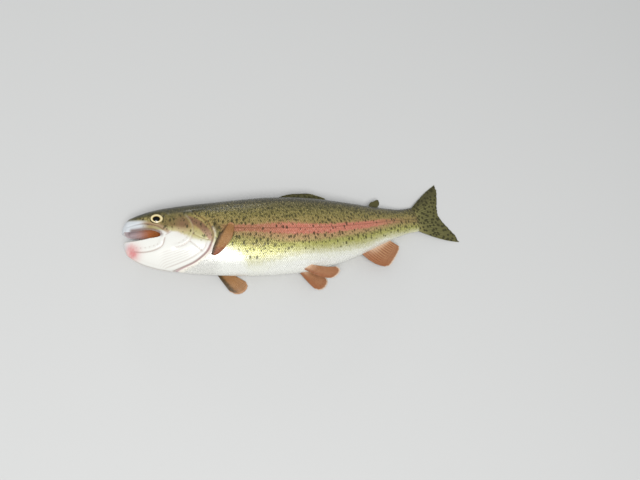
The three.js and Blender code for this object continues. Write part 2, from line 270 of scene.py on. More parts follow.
def relaxed(mesh, values, rounds, share=1.0):
    # Evens out a value between neighbouring points of a mesh.
    ends = np.empty(len(mesh.edges) * 2, np.int32)
    mesh.edges.foreach_get("vertices", ends)
    a, b = ends.reshape(-1, 2).T
    total = len(mesh.vertices)
    count = np.maximum(np.bincount(a, minlength=total) + np.bincount(b, minlength=total), 1)
    for _ in range(rounds):
        columns = [np.bincount(a, v[b], total) + np.bincount(b, v[a], total) for v in values.T]
        values = values + share * (np.stack(columns, -1) / count[:, None] - values)
    return values


def spline(controls, i, share):
    # Points of a smooth open line through the controls, each at a share of the span i.
    p = np.array(controls, float)
    p = np.vstack([2 * p[0] - p[1], p, 2 * p[-1] - p[-2]])
    t = share[:, None]
    a, b, c, d = (p[i + k] for k in range(4))
    return 0.5 * (2 * b + (c - a) * t + (2 * a - 5 * b + 4 * c - d) * t**2 + (3 * b - a - 3 * c + d) * t**3)


def smoothLine(controls, steps=12):
    spans = len(controls) - 1
    line = spline(controls, np.repeat(np.arange(spans), steps), np.tile(np.arange(steps) / steps, spans))
    return np.vstack([line, controls[-1]])


def lineAt(controls, share):
    # The places on the line at shares of it from 0 to 1.
    at = np.clip(share, 0, 1) * (len(controls) - 1)
    i = np.minimum(at.astype(int), len(controls) - 2)
    return spline(controls, i, at - i)


def lineDistance(q, line):
    # How far points are from a line, positive on its left, and the share of the line's length there.
    span = np.diff(line, axis=0)
    length = np.linalg.norm(span, axis=1)
    start = np.concatenate([[0], np.cumsum(length)])
    nearest, signed, share = np.full(len(q), 1e9), np.zeros(len(q)), np.zeros(len(q))
    for corner, way, size, begun in zip(line, span, length, start):
        rel = q - corner
        t = np.clip((rel @ way) / size**2, 0, 1)
        away = np.linalg.norm(rel - t[:, None] * way, axis=1)
        side = np.sign(way[0] * rel[:, 1] - way[1] * rel[:, 0])
        nearer = away < nearest
        nearest = np.where(nearer, away, nearest)
        signed = np.where(nearer, away * side, signed)
        share = np.where(nearer, (begun + t * size) / start[-1], share)
    return signed, share


# The lines of the head, seen from its side.
headLines = {
    "gillEdge": [(79, 22), (84, 14.6), (93, 8.4), (100, 0.5), (104, -11), (101, -22), (96, -30.5), (84, -39.6),
                 (68, -45.6), (54, -49.6)],
    "upperLip": [(-6, -3.6), (4, -3.4), (12, -3.7), (20, -3.8), (27, -2.8), (34, -3.2), (42, -5.4),
                 (46.6, -8.8)],
    "lowerLip": [(46.6, -9.4), (42, -11.5), (33, -12.7), (20, -14.8), (9, -15.3), (-6, -15.2)],
    "maxillaTop": [(5, 1.2), (14, 3), (26, 4), (36, 2), (43, -1), (48.5, -5.2)],
    "maxillaLow": [(50, -9.6), (46.6, -10.6), (42.4, -7.4), (35, -4.6), (26, -4), (14, -4.8), (5, -4.6)],
    "preopercle": [(71.6, 14), (76.5, 8), (80.2, 0), (80.6, -8), (77, -16.5), (69, -22), (57, -24.5)],
    "subopercle": [(81, -9.5), (88, -13), (96, -16), (103, -17)],
    "interopercle": [(78, -18), (86, -24), (93, -30)],
    "opercleTop": [(76, 14), (84, 10.5), (92, 5), (99.5, -3)],
    "jawEdge": [(50, -13), (47, -22), (38, -27), (24, -28.6), (8, -26)],
    "browLine": [(27, 14), (33, 18.6), (41, 20), (49, 17.6), (54, 12)],
    "cheekLine": [(53, 8), (58, 1), (57, -6), (51, -10)],
}
headLines = {name: smoothLine(points) for name, points in headLines.items()}
eye = {"centre": (40.1, 10.1), "half": (8.0, 6.1, 4.6), "depth": 1.8}

skin = {
    # How many times larger the fish is made while its skin is shaped, so that the head gets smaller faces.
    "stretch": [(0, 2.5), (55, 2.4), (100, 2), (135, 1), (379, 1)],
    "voxel": 1.65,
    "rings": 420, "spokes": 220,
    "smoothing": 4,
    "loftShares": (0.55, 0.45), "loftPower": 2.2,  # the rings stand closer at the snout
    "pouchSpokes": 64, "pouchRings": 48, "pouchSquare": 0.85,
    "pouchMiddle": (31, -9.5), "pouchHalf": (27.5, 10.5),
    "pouchWidth": [(3, 5), (8, 8.4), (15, 11), (22, 13), (30, 15), (40, 17), (50, 15), (59, 10)],
    "gapeHalf": 60,
    "plateEdge": 1.6, "plateOver": 0.45, "plateUnder": -1.5,  # the maxilla's longest edge, its top and its foot
    "floorGap": 0.3,
}
stretchX = np.arange(-20, 400, 0.5)
stretchScale = smoothCurve(skin["stretch"])
stretchRun = np.concatenate([[0], np.cumsum(stretchScale(stretchX[:-1] + 0.25) * 0.5)])
stretchRun -= np.interp(0, stretchX, stretchRun)


def stretched(p):
    scale = stretchScale(p[:, 0])
    return np.stack([np.interp(p[:, 0], stretchX, stretchRun), p[:, 1] * scale, p[:, 2] * scale], -1)


def unstretched(p):
    x = np.interp(p[:, 0], stretchRun, stretchX)
    return np.stack([x, p[:, 1] / stretchScale(x), p[:, 2] / stretchScale(x)], -1)


def loftedBody():
    piece = ball("loft", skin["spokes"], skin["rings"])
    co = readPoints(piece.data)
    share = np.arccos(np.clip(co[:, 2], -1, 1)) / math.pi
    even, close = skin["loftShares"]
    x = body["fleshEnd"] * (even * share + close * share ** skin["loftPower"])
    p = bodyPoint(x, np.arctan2(co[:, 1], co[:, 0]) + 1e-9)
    writePoints(piece.data, stretched(p))
    return piece


def gapeSlab():
    # The open mouth's outline made a slab across the fish.
    bm = outlineFace(np.vstack([headLines["upperLip"], headLines["lowerLip"]]), -skin["gapeHalf"])
    extruded(bm, 2 * skin["gapeHalf"])
    piece = fromBmesh("gape", bm)
    writePoints(piece.data, stretched(readPoints(piece.data)))
    return piece


def mouthPouch():
    piece = ball("pouch", skin["pouchSpokes"], skin["pouchRings"])
    co = readPoints(piece.data)
    (midX, midY), (halfX, halfY) = skin["pouchMiddle"], skin["pouchHalf"]
    x = midX + halfX * co[:, 0]
    squarer = np.sign(co[:, 1:]) * np.abs(co[:, 1:]) ** skin["pouchSquare"]
    across = np.sqrt(np.maximum(1 - co[:, 0] ** 2, 1e-6))
    wide = smoothCurve(skin["pouchWidth"])(x) / across * ramp(across, 0, 0.5)
    writePoints(piece.data, stretched(np.stack([x, midY + halfY * squarer[:, 0], squarer[:, 1] * wide], -1)))
    return piece


def maxillaPlates():
    # The long bone along the upper lip on each side, a curved plate that stands a little proud of the head.
    outline = np.vstack([headLines["maxillaTop"], headLines["maxillaLow"]])
    plates = []
    for side in (1, -1):
        bm = outlineFace(outline, 0)
        for _ in range(3):
            long = [e for e in bm.edges if e.calc_length() > skin["plateEdge"]]
            bmesh.ops.subdivide_edges(bm, edges=long, cuts=1)
            bmesh.ops.triangulate(bm, faces=bm.faces[:])
        extruded(bm, 1)
        piece = fromBmesh("maxilla", bm)
        x, y, level = readPoints(piece.data).T
        out = flankAt(x, y) + np.where(level > 0.5, skin["plateOver"], skin["plateUnder"])
        writePoints(piece.data, stretched(np.stack([x, y, side * out], -1)))
        if side < 0:
            piece.data.flip_normals()
        plates.append(piece)
    return plates


def joined(name, pieces):
    bm = bmesh.new()
    for piece in pieces:
        bm.from_mesh(piece.data)
    removed(*pieces)
    return fromBmesh(name, bm)


def skinBase():
    piece = loftedBody()
    gape, pouch = gapeSlab(), mouthPouch()
    for tool in (gape, pouch):
        cut = piece.modifiers.new(tool.name, "BOOLEAN")
        cut.operation, cut.solver, cut.object = "DIFFERENCE", "EXACT", tool
    applied(piece)
    removed(gape, pouch)
    piece = joined("troutSkin", [piece] + maxillaPlates())
    remesh = piece.modifiers.new("voxels", "REMESH")
    remesh.mode, remesh.voxel_size = "VOXEL", skin["voxel"]
    relax = piece.modifiers.new("relax", "SMOOTH")
    relax.factor, relax.iterations = 0.5, skin["smoothing"]
    return applied(piece)


relief = {
    # Heights, depths and widths in millimetres. The eye's socket is measured in shares of the eye's half size.
    "socketDeep": 4.2, "socketWall": (0.62, 0.93), "rim": (0.38, 1.05, 0.08), "rimFoot": (0.3, 1.22, 0.07),
    "slitDeep": 0.9, "coverStep": 0.95, "stepReach": 6.0, "plateStep": 0.5, "plateReach": 3.2,
    "rayPitch": 2.7, "rayTall": 0.26,
    # soft swellings and hollows of the cheek and snout: place, size, height
    "swells": [((60, -1), 8, 0.3), ((30, 5.5), 4.5, -0.45), ((14, 7), 4, -0.3)],
    # ridges and grooves beside the head's lines: height, place beside the line, width, and whether they run
    # over a share of the line or between two heights y, from where to where, with soft ends
    "ridges": [("browLine", 0.34, 0, 2.2, "share", -1, 2, 0.1), ("browLine", -0.3, -3.4, 1.6, "y", 15, 99, 5),
               ("cheekLine", -0.34, 0, 0.9, "share", -1, 2, 0.1),
               ("maxillaTop", -0.55, 0.7, 0.75, "share", 0.06, 0.96, 0.06),
               ("gillEdge", 0.32, 5.2, 1.8, "y", -44, -2, 6), ("gillEdge", -0.26, -4.2, 0.7, "y", -44, -15, 3),
               ("subopercle", -0.42, 0, 0.75, "share", 0.05, 0.97, 0.08),
               ("interopercle", -0.4, 0, 0.75, "share", 0.05, 0.97, 0.08),
               ("opercleTop", -0.3, 0, 0.75, "share", 0.05, 0.97, 0.08),
               ("jawEdge", -0.6, 0, 0.9, "share", 0.03, 0.93, 0.07),
               ("jawEdge", 0.25, -2.4, 1.6, "share", 0.1, 0.9, 0.1)],
    "nostrils": [(21.6, 11.4, 0.85), (24.4, 10.6, 1.15)],
    "poreDeep": 0.28, "poreWide": 0.62,
    "poreLines": [([(26, 6), (31, 3.4), (38, 1.2), (45, 1.2), (51, 4), (55, 9)], 11),
                  ([(74, 11), (77.5, 3), (77.8, -6), (74.6, -14), (66, -19.4)], 9),
                  ([(46, -19), (36, -22.5), (24, -24), (12, -22.5)], 8)],
}


def window(value, low, high, soft):
    return ramp(value, low - soft, low) * (1 - ramp(value, high, high + soft))


def hollow(q, place, size):
    return np.exp(-((q[:, 0] - place[0]) ** 2 + (q[:, 1] - place[1]) ** 2) / size**2)


def socketRelief(x, y):
    # The eye's socket and its fleshy rim.
    away = np.hypot((x - eye["centre"][0]) / eye["half"][0], (y - eye["centre"][1]) / eye["half"][1])
    d = -relief["socketDeep"] * (1 - ramp(away, *relief["socketWall"]))
    for sign, key in ((1, "rim"), (-1, "rimFoot")):
        tall, middle, wide = relief[key]
        d += sign * tall * bump(away, middle, wide)
    return d


def coverRelief(line, x, y):
    # The gill cover's free edge, which stands away less at its ends, the slit behind it and the shoulder.
    s, share = line["gillEdge"]
    ends = ramp(share, 0, 0.09) * (1 - 0.6 * ramp(share, 0.92, 1))
    drop = relief["coverStep"] * ramp(s, -0.1, 0.8) * np.exp(-np.maximum(s, 0) / relief["stepReach"])
    d = -ends * (drop + relief["slitDeep"] * bump(s, 0.7, 0.62) - 0.26 * bump(s, -1.4, 1.3))
    # the throat's rays, like closed fans under the cover
    rays = 0.5 - 0.5 * np.cos(2 * math.pi * (s + 0.6) / relief["rayPitch"])
    d -= relief["rayTall"] * rays * window(s, -23, -6, 3) * (1 - ramp(y, -30, -25)) * ramp(x, 40, 52)
    # the step between the cover's front plate and the rest
    s, share = line["preopercle"]
    drop = relief["plateStep"] * ramp(s, -0.2, 0.7) * np.exp(-np.maximum(s, 0) / relief["plateReach"])
    return d + (0.3 * bump(s, -1.0, 1.1) - drop) * ramp(share, 0, 0.12) * (1 - ramp(share, 0.86, 1))


def jawRelief(line, x, y, z):
    # The small bone over the rear of the long one on the upper lip, and the crease before them.
    top = line["maxillaTop"][0]
    plate = window(top, -9, 0, 0.6) * window(x, 30, 46, 3) * window(y, -6, 4, 2)
    d = 0.2 * plate * bump(top, -1.5, 1.3)
    d -= 0.35 * bump(x, 9.5 - 0.3 * y, 0.8) * window(y, -3, 5, 2)
    # the fold between the two jaws under the chin, and the ridge down the snout
    below = 1 - ramp(y, -26, -20)
    d -= 0.8 * bump(z, 0, 1.1) * below * window(x, 9, 56, 8)
    d += 0.25 * bump(np.abs(z), 3.6, 1.6) * below * window(x, 9, 46, 6)
    return d + 0.22 * bump(z, 0, 2.4) * window(x, 6, 30, 5) * ramp(y, 5, 9)


def poreRelief(q):
    # Nostrils with a flap between, and rows of pores.
    d = np.zeros(len(q))
    for place in relief["nostrils"]:
        away = np.hypot(q[:, 0] - place[0], q[:, 1] - place[1])
        d -= 1.5 * bump(away, 0, place[2]) - 0.3 * bump(away, place[2] * 1.7, 0.5)
    for points, count in relief["poreLines"]:
        row = smoothLine(points)
        for spot in row[np.linspace(0, len(row) - 1, count).astype(int)]:
            d -= relief["poreDeep"] * hollow(q, spot, relief["poreWide"])
    return d


def headRelief(p):
    # How far each point of the head's outside stands out or in, in millimetres.
    q, (x, y, z) = p[:, :2], p.T
    used = {row[0] for row in relief["ridges"]} | {"preopercle"}
    line = {name: lineDistance(q, headLines[name]) for name in used}
    d = socketRelief(x, y) + coverRelief(line, x, y) + jawRelief(line, x, y, z) + poreRelief(q)
    for name, tall, beside, wide, way, low, high, soft in relief["ridges"]:
        s, share = line[name]
        d += tall * bump(s, beside, wide) * window(y if way == "y" else share, low, high, soft)
    for place, size, tall in relief["swells"]:
        d += tall * hollow(q, place, size)
    return d


tones = {
    "headTop": [(0, 8.5), (15, 9.5), (30, 13), (45, 17), (60, 15.5), (75, 15), (100, 19), (379, 25)],
    # a painted shadow behind the gill cover, laid on in the head's olive
    "shadePatch": [(106, 6), (107.5, 0), (110, -8), (112, -15)],
    "underEye": [(21, 6), (31, 4.4), (40, 2.2), (48, -2), (53, -6)],
    # place and size; the two at the nostrils and the two by the maxilla's rear end are painted shade there
    "cheekSpotsAndShade": [(48, 9, 0.9), (51, 8.8, 0.8), (49.8, 3.2, 0.7), (56, 12, 0.9), (62, 9, 0.8), (66, 14, 1),
                   (59, 5, 0.7), (52, -3.5, 1), (70, 9, 0.8), (86, 9, 1.1), (91, 4.6, 0.9), (83, 5, 0.8),
                   (97, -1.5, 0.9), (96, -9, 0.8), (21.6, 11.4, 0.8), (24.4, 10.6, 1.1), (50.2, 0, 2),
                   (48.6, -2, 1.2), (113, -4, 1.8), (111, -12, 1.4)],
    "paleEdge": [(0, -5), (30, -4.5), (46.6, -5.5), (62.4, -7.5), (71.5, -12), (84, -17), (100, -20),
                 (112, -22), (131, -30), (148, -40), (170, -37.6), (190, -34.6), (230, -33), (280, -28.5),
                 (330, -18), (379, -15)],
    "stripeMiddle": [(100, -2.5), (131, -3.4), (181, -5.4), (228, -8), (280, -5.5), (330, -1.5), (379, 0)],
    "stripeHalf": [(100, 4.4), (131, 4.8), (150, 5.4), (172, 7.2), (190, 8.4), (228, 7), (280, 5.4), (330, 3.8),
                   (379, 2.2)],
    "rosyBand": [(70, 10), (80, 6.5), (89, 1.2), (96, -6), (103, -14)],
    "rosyPatch": ((70, 2.5), 9.5),
    # soft patches: strength, from where to where along the fish and how soft, the same over its height
    "lilacAndGlare": [(0.5, (0, 9, 4), (-23, -12, 3))],
    "olive": [(0.6, (46, 74, 5), (2, 99, 7)), (0.55, (377, 999, 9), (-4, 99, 18))],
    # round ones of red: strength, place, size, and whether the right side has it too
    "red": [(1, (14, -28.6), 8, False), (0.3, (11, -21), 4, True), (0.22, (101, -27), 5, False)],
    "roundness": 0.45,  # how much of the way out to the flank counts as way round the fish
}
paleEdge, stripeMiddle, stripeHalf, headTop = (
    smoothCurve(tones[k]) for k in ("paleEdge", "stripeMiddle", "stripeHalf", "headTop"))


def awayFrom(q, name):
    # How far points are from one of the tones' lines.
    return np.abs(lineDistance(q, smoothLine(tones[name]))[0])


def patches(x, y, name):
    return np.max([much * window(x, *along) * window(y, *high) for much, along, high in tones[name]], axis=0)


def bodyFields(x, y, z):
    # The band, -1 at the pale belly and 1 on the back, the place in the stripe and the way round from the back.
    lateral, top = lateralLine(x), backHeight(x) * np.maximum(endRound(x), 0.3)
    over = (y - lateral) / (top - lateral)
    under = (y - lateral) / np.maximum(lateral - paleEdge(x), 1)
    wide = flankWidth(x) * endRound(x)
    girth = (y - lateral) + tones["roundness"] * np.sign(y - lateral) * (wide - np.abs(z))
    fromRidge = np.sign(z) * (top - lateral + tones["roundness"] * wide - girth)
    return np.where(y > lateral, over, under), (y - stripeMiddle(x)) / stripeHalf(x), fromRidge


def headFields(q, x, y):
    # The head's darker tones: brown along the upper lip's lower edge, partly its own colour and partly a
    # painted shadow under the lip, olive on top with a painted shadow behind the gill cover, and the line under
    # the eye.
    lipBrownAndShadow = bump(lineDistance(q, headLines["maxillaLow"])[0], -1.4, 2.4) * window(x, 13, 45, 5)
    olive = ramp(y - headTop(x), -2, 3.5) * (1 - ramp(x, 90, 125)) * ramp(x, 4, 16)
    # painted shadow behind the gill cover
    shade = 0.75 * (1 - ramp(awayFrom(q, "shadePatch"), 1, 3.6))
    olive = np.maximum(np.maximum(olive, shade), patches(x, y, "olive"))
    underEye = (1 - ramp(awayFrom(q, "underEye"), 0.6, 3.6)) * ramp(x, 18, 34)
    return np.stack([lipBrownAndShadow, olive, underEye], -1)


def markings(p, lining=0):
    # Where each point lies among the fish's bands of colour, and how much of each local tone it has.
    q, (x, y, z) = p[:, :2], p.T
    band, stripe, fromRidge = bodyFields(x, y, z)
    gill, share = lineDistance(q, headLines["gillEdge"])
    preopercle, along = lineDistance(q, headLines["preopercle"])
    rosy = (1 - ramp(awayFrom(q, "rosyBand"), 2.6, 5.4)) * (1 - ramp(gill, -1, 0.4)) * ramp(preopercle, 0, 1.6)
    rosy = np.maximum(rosy, 0.9 * hollow(q, *tones["rosyPatch"]) * (1 - ramp(preopercle, -1.6, -0.2)))
    # The snout's pale lilac is partly its own tone and partly a painted wet glare.
    lilacAndGlare = window(x, -5, 20, 14) * window(y, -8, 8.6 - 0.1 * x, 4.5)
    lilacAndGlare = np.maximum(lilacAndGlare, patches(x, y, "lilacAndGlare"))
    slit = bump(gill, 0.7, 0.85) * ramp(share, 0.25, 0.5)
    # A pale band behind the gill cover's lower edge, and a painted highlight along the edge of the cover's
    # front plate.
    rim = 0.8 * bump(gill, 2.7, 1.5) * window(y, -50, -5, 6)
    rim += 0.3 * bump(preopercle, 0.7, 0.9) * window(along, 0.06, 0.7, 0.1)
    red = sum(much * hollow(q, place, size) * ((z > 0) | both) for much, place, size, both in tones["red"])
    # Dark specks of the head; some are painted shade in the nostrils and by the maxilla's rear end.
    specks = [1 - ramp(np.hypot(x - a, y - b), 0.5 * size, 1.2 * size) for a, b, size in tones["cheekSpotsAndShade"]]
    return {
        "flow": np.stack([x, fromRidge, 0 * x], -1),
        "bands": np.stack([band, stripe, ramp(gill, -6, 4)], -1),
        "tones": np.stack([rosy, lilacAndGlare, lining + 0 * x], -1),
        "marks": np.stack([slit, red, rim], -1),
        "heads": headFields(q, x, y),
        "specks": np.max(specks, axis=0), "low": ramp(-y, 6, 9.5),
    }


def skinPiece():
    piece = skinBase()
    mesh = piece.data
    p = unstretched(readPoints(mesh))
    deep = depthIn(p)
    hull = ramp(deep, 0.955, 0.985) * ramp(p[:, 0], 1.5, 4)
    onOutline = np.abs(deep - 1) < 0.02
    p[:, 1:] *= np.where(onOutline, 1 + hull * (1 / deep - 1), 1)[:, None]
    writePoints(mesh, p)
    n = relaxed(mesh, readPoints(mesh, normals=True), 3)
    n /= np.maximum(np.linalg.norm(n, axis=1, keepdims=True), 1e-6)
    outside = ramp(deep, 0.9, 0.965)
    head = p[:, 0] < 125
    d = np.zeros(len(p))
    d[head] = headRelief(p[head])
    d = relaxed(mesh, (d * outside)[:, None], 1, 0.6)
    # Painted shade: the grooves of the head's relief are marked here, to be coloured darker.
    creaseShade = np.clip((relaxed(mesh, d, 14) - d)[:, 0] / 0.3, 0, 1) * outside * ramp(p[:, 0], 10, 24)
    d = d - body["coatDepth"]
    p = p + n * d
    lips = bump(deep, 0.93, 0.07) * (p[:, 0] < 60)
    p = relaxed(mesh, p, 6, (0.7 * lips)[:, None])
    settle(piece, p, skin["floorGap"])
    lining = (1 - ramp(deep, 0.86, 0.95)) * (p[:, 0] < 62) * ramp(p[:, 0], 2.5, 5)
    for name, values in markings(p, lining).items():
        store(mesh, name, values)
    store(mesh, "creaseShade", creaseShade)
    print("skin", len(mesh.vertices), "points,", int(head.sum()), "on the head")
    return piece


def linear(code):
    # A colour written as six hexadecimal digits, for a shader.
    channels = [int(code[i:i + 2], 16) / 255 for i in (0, 2, 4)]
    return (*(c / 12.92 if c <= 0.04045 else ((c + 0.055) / 1.055) ** 2.4 for c in channels), 1)


# Helpers for materials. Nodes are put into the tree that was opened last.
tree = None


def openTree(opened):
    global tree
    tree = opened


def put(kind, values=(), out=0, **settings):
    # Adds a node with its settings, its linked or plain inputs, and gives one of its outputs.
    node = tree.nodes.new("ShaderNode" + kind)
    for key, value in settings.items():
        setattr(node, key, value)
    for socket, value in (values.items() if isinstance(values, dict) else enumerate(values)):
        if isinstance(value, bpy.types.NodeSocket):
            tree.links.new(value, node.inputs[socket])
        else:
            node.inputs[socket].default_value = value
    return node.outputs[out]


def feed(inputs, values):
    for socket, value in values.items():
        tree.links.new(value, inputs[socket])


def calc(how, *values, clamp=False):
    return put("Math", values, operation=how, use_clamp=clamp)


def plus(first, second):
    return calc("ADD", first, second)


def times(first, second, clamp=False):
    return calc("MULTIPLY", first, second, clamp=clamp)


def fit(value, by, more, clamp=False):
    return calc("MULTIPLY_ADD", value, by, more, clamp=clamp)


def step(value, low, high, start=0.0, end=1.0):
    return put("MapRange", (value, low, high, start, end), interpolation_type="SMOOTHSTEP")


def blend(share, first, second, how="MIX"):
    return put("Mix", {0: share, 6: first, 7: second}, 2, data_type="RGBA", blend_type=how)


def parts(vector):
    return put("SeparateXYZ", (vector,)).node.outputs[:]


def grey(value):
    return put("CombineXYZ", (value, value, value))


def noise(place, scale, detail=3.0, out=0):
    return put("TexNoise", {"Vector": place, "Scale": scale, "Detail": detail, "Roughness": 0.55}, out)


def scaled(place, by):
    return put("VectorMath", (place, by), operation="MULTIPLY")


def bands(value, stops):
    # A colour that changes along a value through the given stops.
    output = put("ValToRGB", (value,))
    scale = output.node.color_ramp
    scale.interpolation = "EASE"
    while len(scale.elements) < len(stops):
        scale.elements.new(1)
    for element, (at, code) in zip(scale.elements, stops):
        element.position = at
        element.color = linear(code)
    return output


def readField(name, out=1):
    # A field stored on the mesh's points, read as a vector, or as a number from output 2.
    return put("Attribute", (), out, attribute_name=name)


def newGroup(name, takes, gives):
    group = bpy.data.node_groups.new(name, "ShaderNodeTree")
    for side, sockets in (("INPUT", takes), ("OUTPUT", gives)):
        for label, kind in sockets.items():
            group.interface.new_socket(label, in_out=side, socket_type="NodeSocket" + kind)
    openTree(group)
    return group, group.nodes.new("NodeGroupInput").outputs, group.nodes.new("NodeGroupOutput").inputs


def newMaterial(name, roughness=0.5, coat=0, coatRoughness=0.03, specular=0.5):
    # Opens a new material's tree, and gives the material and its surface's inputs.
    material = bpy.data.materials.new(name)
    material.use_nodes = True
    openTree(material.node_tree)
    surface = tree.nodes["Principled BSDF"].inputs
    settings = {"Roughness": roughness, "Coat Weight": coat, "Coat Roughness": coatRoughness,
                "Specular IOR Level": specular}
    for socket, value in settings.items():
        surface[socket].default_value = value
    return material, surface


def bumped(height, far, strength):
    return put("Bump", {"Strength": strength, "Distance": far, "Height": height})


colours = {
    # from the belly, over the flank, to the ridge of the back
    "bands": [(0.0, "eeeee6"), (0.08, "ebebdc"), (0.15, "d5d3b2"), (0.22, "c1be86"), (0.29, "b6b369"),
              (0.37, "aba162"), (0.5, "a08a58"), (0.63, "9b8852"), (0.72, "857a45"), (0.82, "645e39"),
              (0.9, "3f3c28"), (1.0, "29291c")],
    "stripeFront": "ab7054", "stripe": "cb7c68", "stripeEdge": "a98257", "stripeSkirt": "c19a72",
    "stripeFleck": "e3a995", "fleck": "bfae78", "streak": "706a30", "spot": "33311a",
    # the head's olive also paints the shadow behind the gill cover
    # the lip's brown is partly a painted shadow under the upper lip
    # the snout's lilac is partly a painted wet glare
    "rosy": "7a5b43", "rosyLow": "ad8a74", "lilacAndGlare": "ccd0d3", "lipBrownAndShadow": "6c4d44", "headOlive": "2c2b16",
    "headWhite": "dcdbd4", "cheek": "bdb194", "underEye": "a0866a", "slit": "98646f", "chin": "c4585c",
    # the crease colour is painted shade in the head's grooves
    # the rim's pale is partly a painted highlight along the gill cover's front plate
    "rim": "f2e8d4", "creaseShade": "bfa9a2",
    "palate": "b6a5a8", "gape": "cd7a3b", "jawLining": "d9c2c0", "throat": "5c2618",
    # from the pupil to the eye's rim
    "iris": [(0.5, "1a140a"), (0.535, "b8984a"), (0.6, "dccb94"), (0.72, "e6dab4"), (0.83, "cdb981"),
             (0.9, "3a3018"), (0.95, "0f0d08")],
    "irisDusk": "5c5230", "pupil": "030303",
}
fields = {"flow": "Vector", "bands": "Vector", "tones": "Vector", "marks": "Vector", "heads": "Vector",
          "specks": "Float", "low": "Float"}
spots = {
    # millimetres from one spot to the next, and the least and most radius in shares of that
    "large": (4.4, 0.15, 0.38), "small": (2.8, 0.14, 0.36),
    "along": 1.12, "round": 0.62,  # the cells are a little taller than wide
}


def tone(name):
    return linear(colours[name])


def spotLayer(flat, name, there):
    # Spots of one size, each there where its luck is under the value given.
    size, low, high = spots[name]
    cells = scaled(flat, (spots["along"] / size, spots["round"] / size, 1))
    settings = {"Vector": cells, "Scale": 1.0, "Randomness": 0.9}
    distance = put("TexVoronoi", settings, 0, voronoi_dimensions="2D")
    luck, wide, _ = parts(put("TexVoronoi", settings, 1, voronoi_dimensions="2D"))
    inside = step(calc("SUBTRACT", distance, fit(wide, high - low, low)), 0.08, -0.08)
    return times(inside, step(calc("SUBTRACT", there, luck), 0.0, 0.1))


def backTones(flow, ragged, warped, behind):
    # The bands from the belly to the back, with pale flecks above and upright olive streaks below.
    colour = bands(fit(warped, 0.4, 0.57, clamp=True), colours["bands"])
    flecks = step(noise(scaled(flow, (0.62, 0.34, 1)), 1.0, 2), 0.5, 0.66)
    fleckedBack = times(step(warped, 0.0, 0.25), step(warped, 1.0, 0.75))
    colour = blend(times(flecks, times(fleckedBack, 0.5)), colour, tone("fleck"))
    streaks = step(noise(scaled(flow, (0.75, 0.17, 1)), 1.0, 2), 0.5, 0.6)
    streaks = times(streaks, step(warped, -1.05, -0.6))
    streaks = times(streaks, times(step(warped, 0.3, -0.2), behind))
    return blend(times(streaks, 0.5), colour, tone("streak")), flecks


def stripeTones(colour, x, ragged, stripe, flecks):
    # The rosy stripe and the paler fringe that hangs under it. Gives the stripe's share too.
    along = times(step(x, 108, 128), step(x, 365, 290))
    fringe = times(step(stripe, -2.3, -1.3), step(stripe, 0.2, -0.6))
    fringe = times(fringe, times(along, step(x, 140, 185, 0.35, 0.8)))
    fringe = times(fringe, fit(ragged, 0.9, 0.45), clamp=True)
    colour = blend(fringe, colour, tone("stripeSkirt"))
    away = calc("ABSOLUTE", plus(stripe, fit(ragged, 1.2, -0.6)))
    core = blend(step(x, 150, 200), tone("stripeFront"), tone("stripe"))
    stripeTone = blend(step(away, 1.0, 0.7), tone("stripeEdge"), core)
    stripeTone = blend(times(flecks, 0.4), stripeTone, tone("stripeFleck"))
    share = times(step(away, 1.5, 0.5), along)
    return blend(times(share, 0.95), colour, stripeTone), share


def headTones(colour, x, ragged, warped, band, given):
    rosy, lilacAndGlare, _ = parts(given["Tones"])
    lips, olive, underEye = parts(given["Heads"])
    cheek = times(step(warped, -0.2, -0.7), step(x, 112, 86))
    colour = blend(times(cheek, 0.45), colour, tone("cheek"))
    bare = times(step(warped, -0.75, -1.1), step(x, 120, 98))
    colour = blend(bare, colour, tone("headWhite"))
    # the olive also carries the painted shadow behind the gill cover
    colour = blend(times(olive, fit(ragged, 0.9, 0.3), clamp=True), colour, tone("headOlive"))
    # pale lilac of the snout, partly a painted wet glare
    colour = blend(lilacAndGlare, colour, tone("lilacAndGlare"))
    colour = blend(times(underEye, 0.85), colour, tone("underEye"))
    rosyTone = blend(step(band, -0.15, -0.75), tone("rosy"), tone("rosyLow"))
    colour = blend(times(rosy, fit(ragged, 0.7, 0.6), clamp=True), colour, rosyTone)
    # brown along the upper lip, partly a painted shadow under its edge
    return blend(times(lips, 0.85), colour, tone("lipBrownAndShadow"))


def spotCover(flow, cloud, warped, behind, stripeShare, given):
    # Where large and small dark spots are, each a little ragged, fewer in the stripe and on the head.
    wobble = put("VectorMath", (noise(scaled(flow, (0.8, 0.8, 1)), 1.0, 2, out=1), (0.5, 0.5, 0.5)),
                 operation="SUBTRACT")
    flat = put("VectorMath", (scaled(wobble, (1.2, 1.6, 0)), flow), operation="ADD")
    amount = times(step(warped, -1.15, -0.45), fit(behind, 0.62, 0.3))
    amount = times(amount, fit(stripeShare, -0.75, 1.0))
    large = spotLayer(flat, "large", times(amount, 0.85))
    small = spotLayer(flat, "small", times(amount, step(warped, 0.0, 0.4, 0.8, 1.15)))
    cover = calc("MAXIMUM", large, times(small, fit(cloud, 0.9, 0.35, clamp=True)))
    # the head's specks, some of them painted shade in the nostrils and by the maxilla's rear end
    cover = calc("MAXIMUM", cover, given["Specks"])
    _, lilacAndGlare, _ = parts(given["Tones"])
    return times(cover, step(lilacAndGlare, 0.9, 0.3))


def mouthTones(x, ragged, low):
    # Mauve in front, orange brown at the corner and dark in the throat.
    depth = plus(x, fit(ragged, 14, -7))
    mouth = blend(step(depth, 12, 36), tone("palate"), tone("gape"))
    mouth = blend(times(low, 0.8), mouth, tone("jawLining"))
    return blend(step(depth, 48, 58), mouth, tone("throat"))


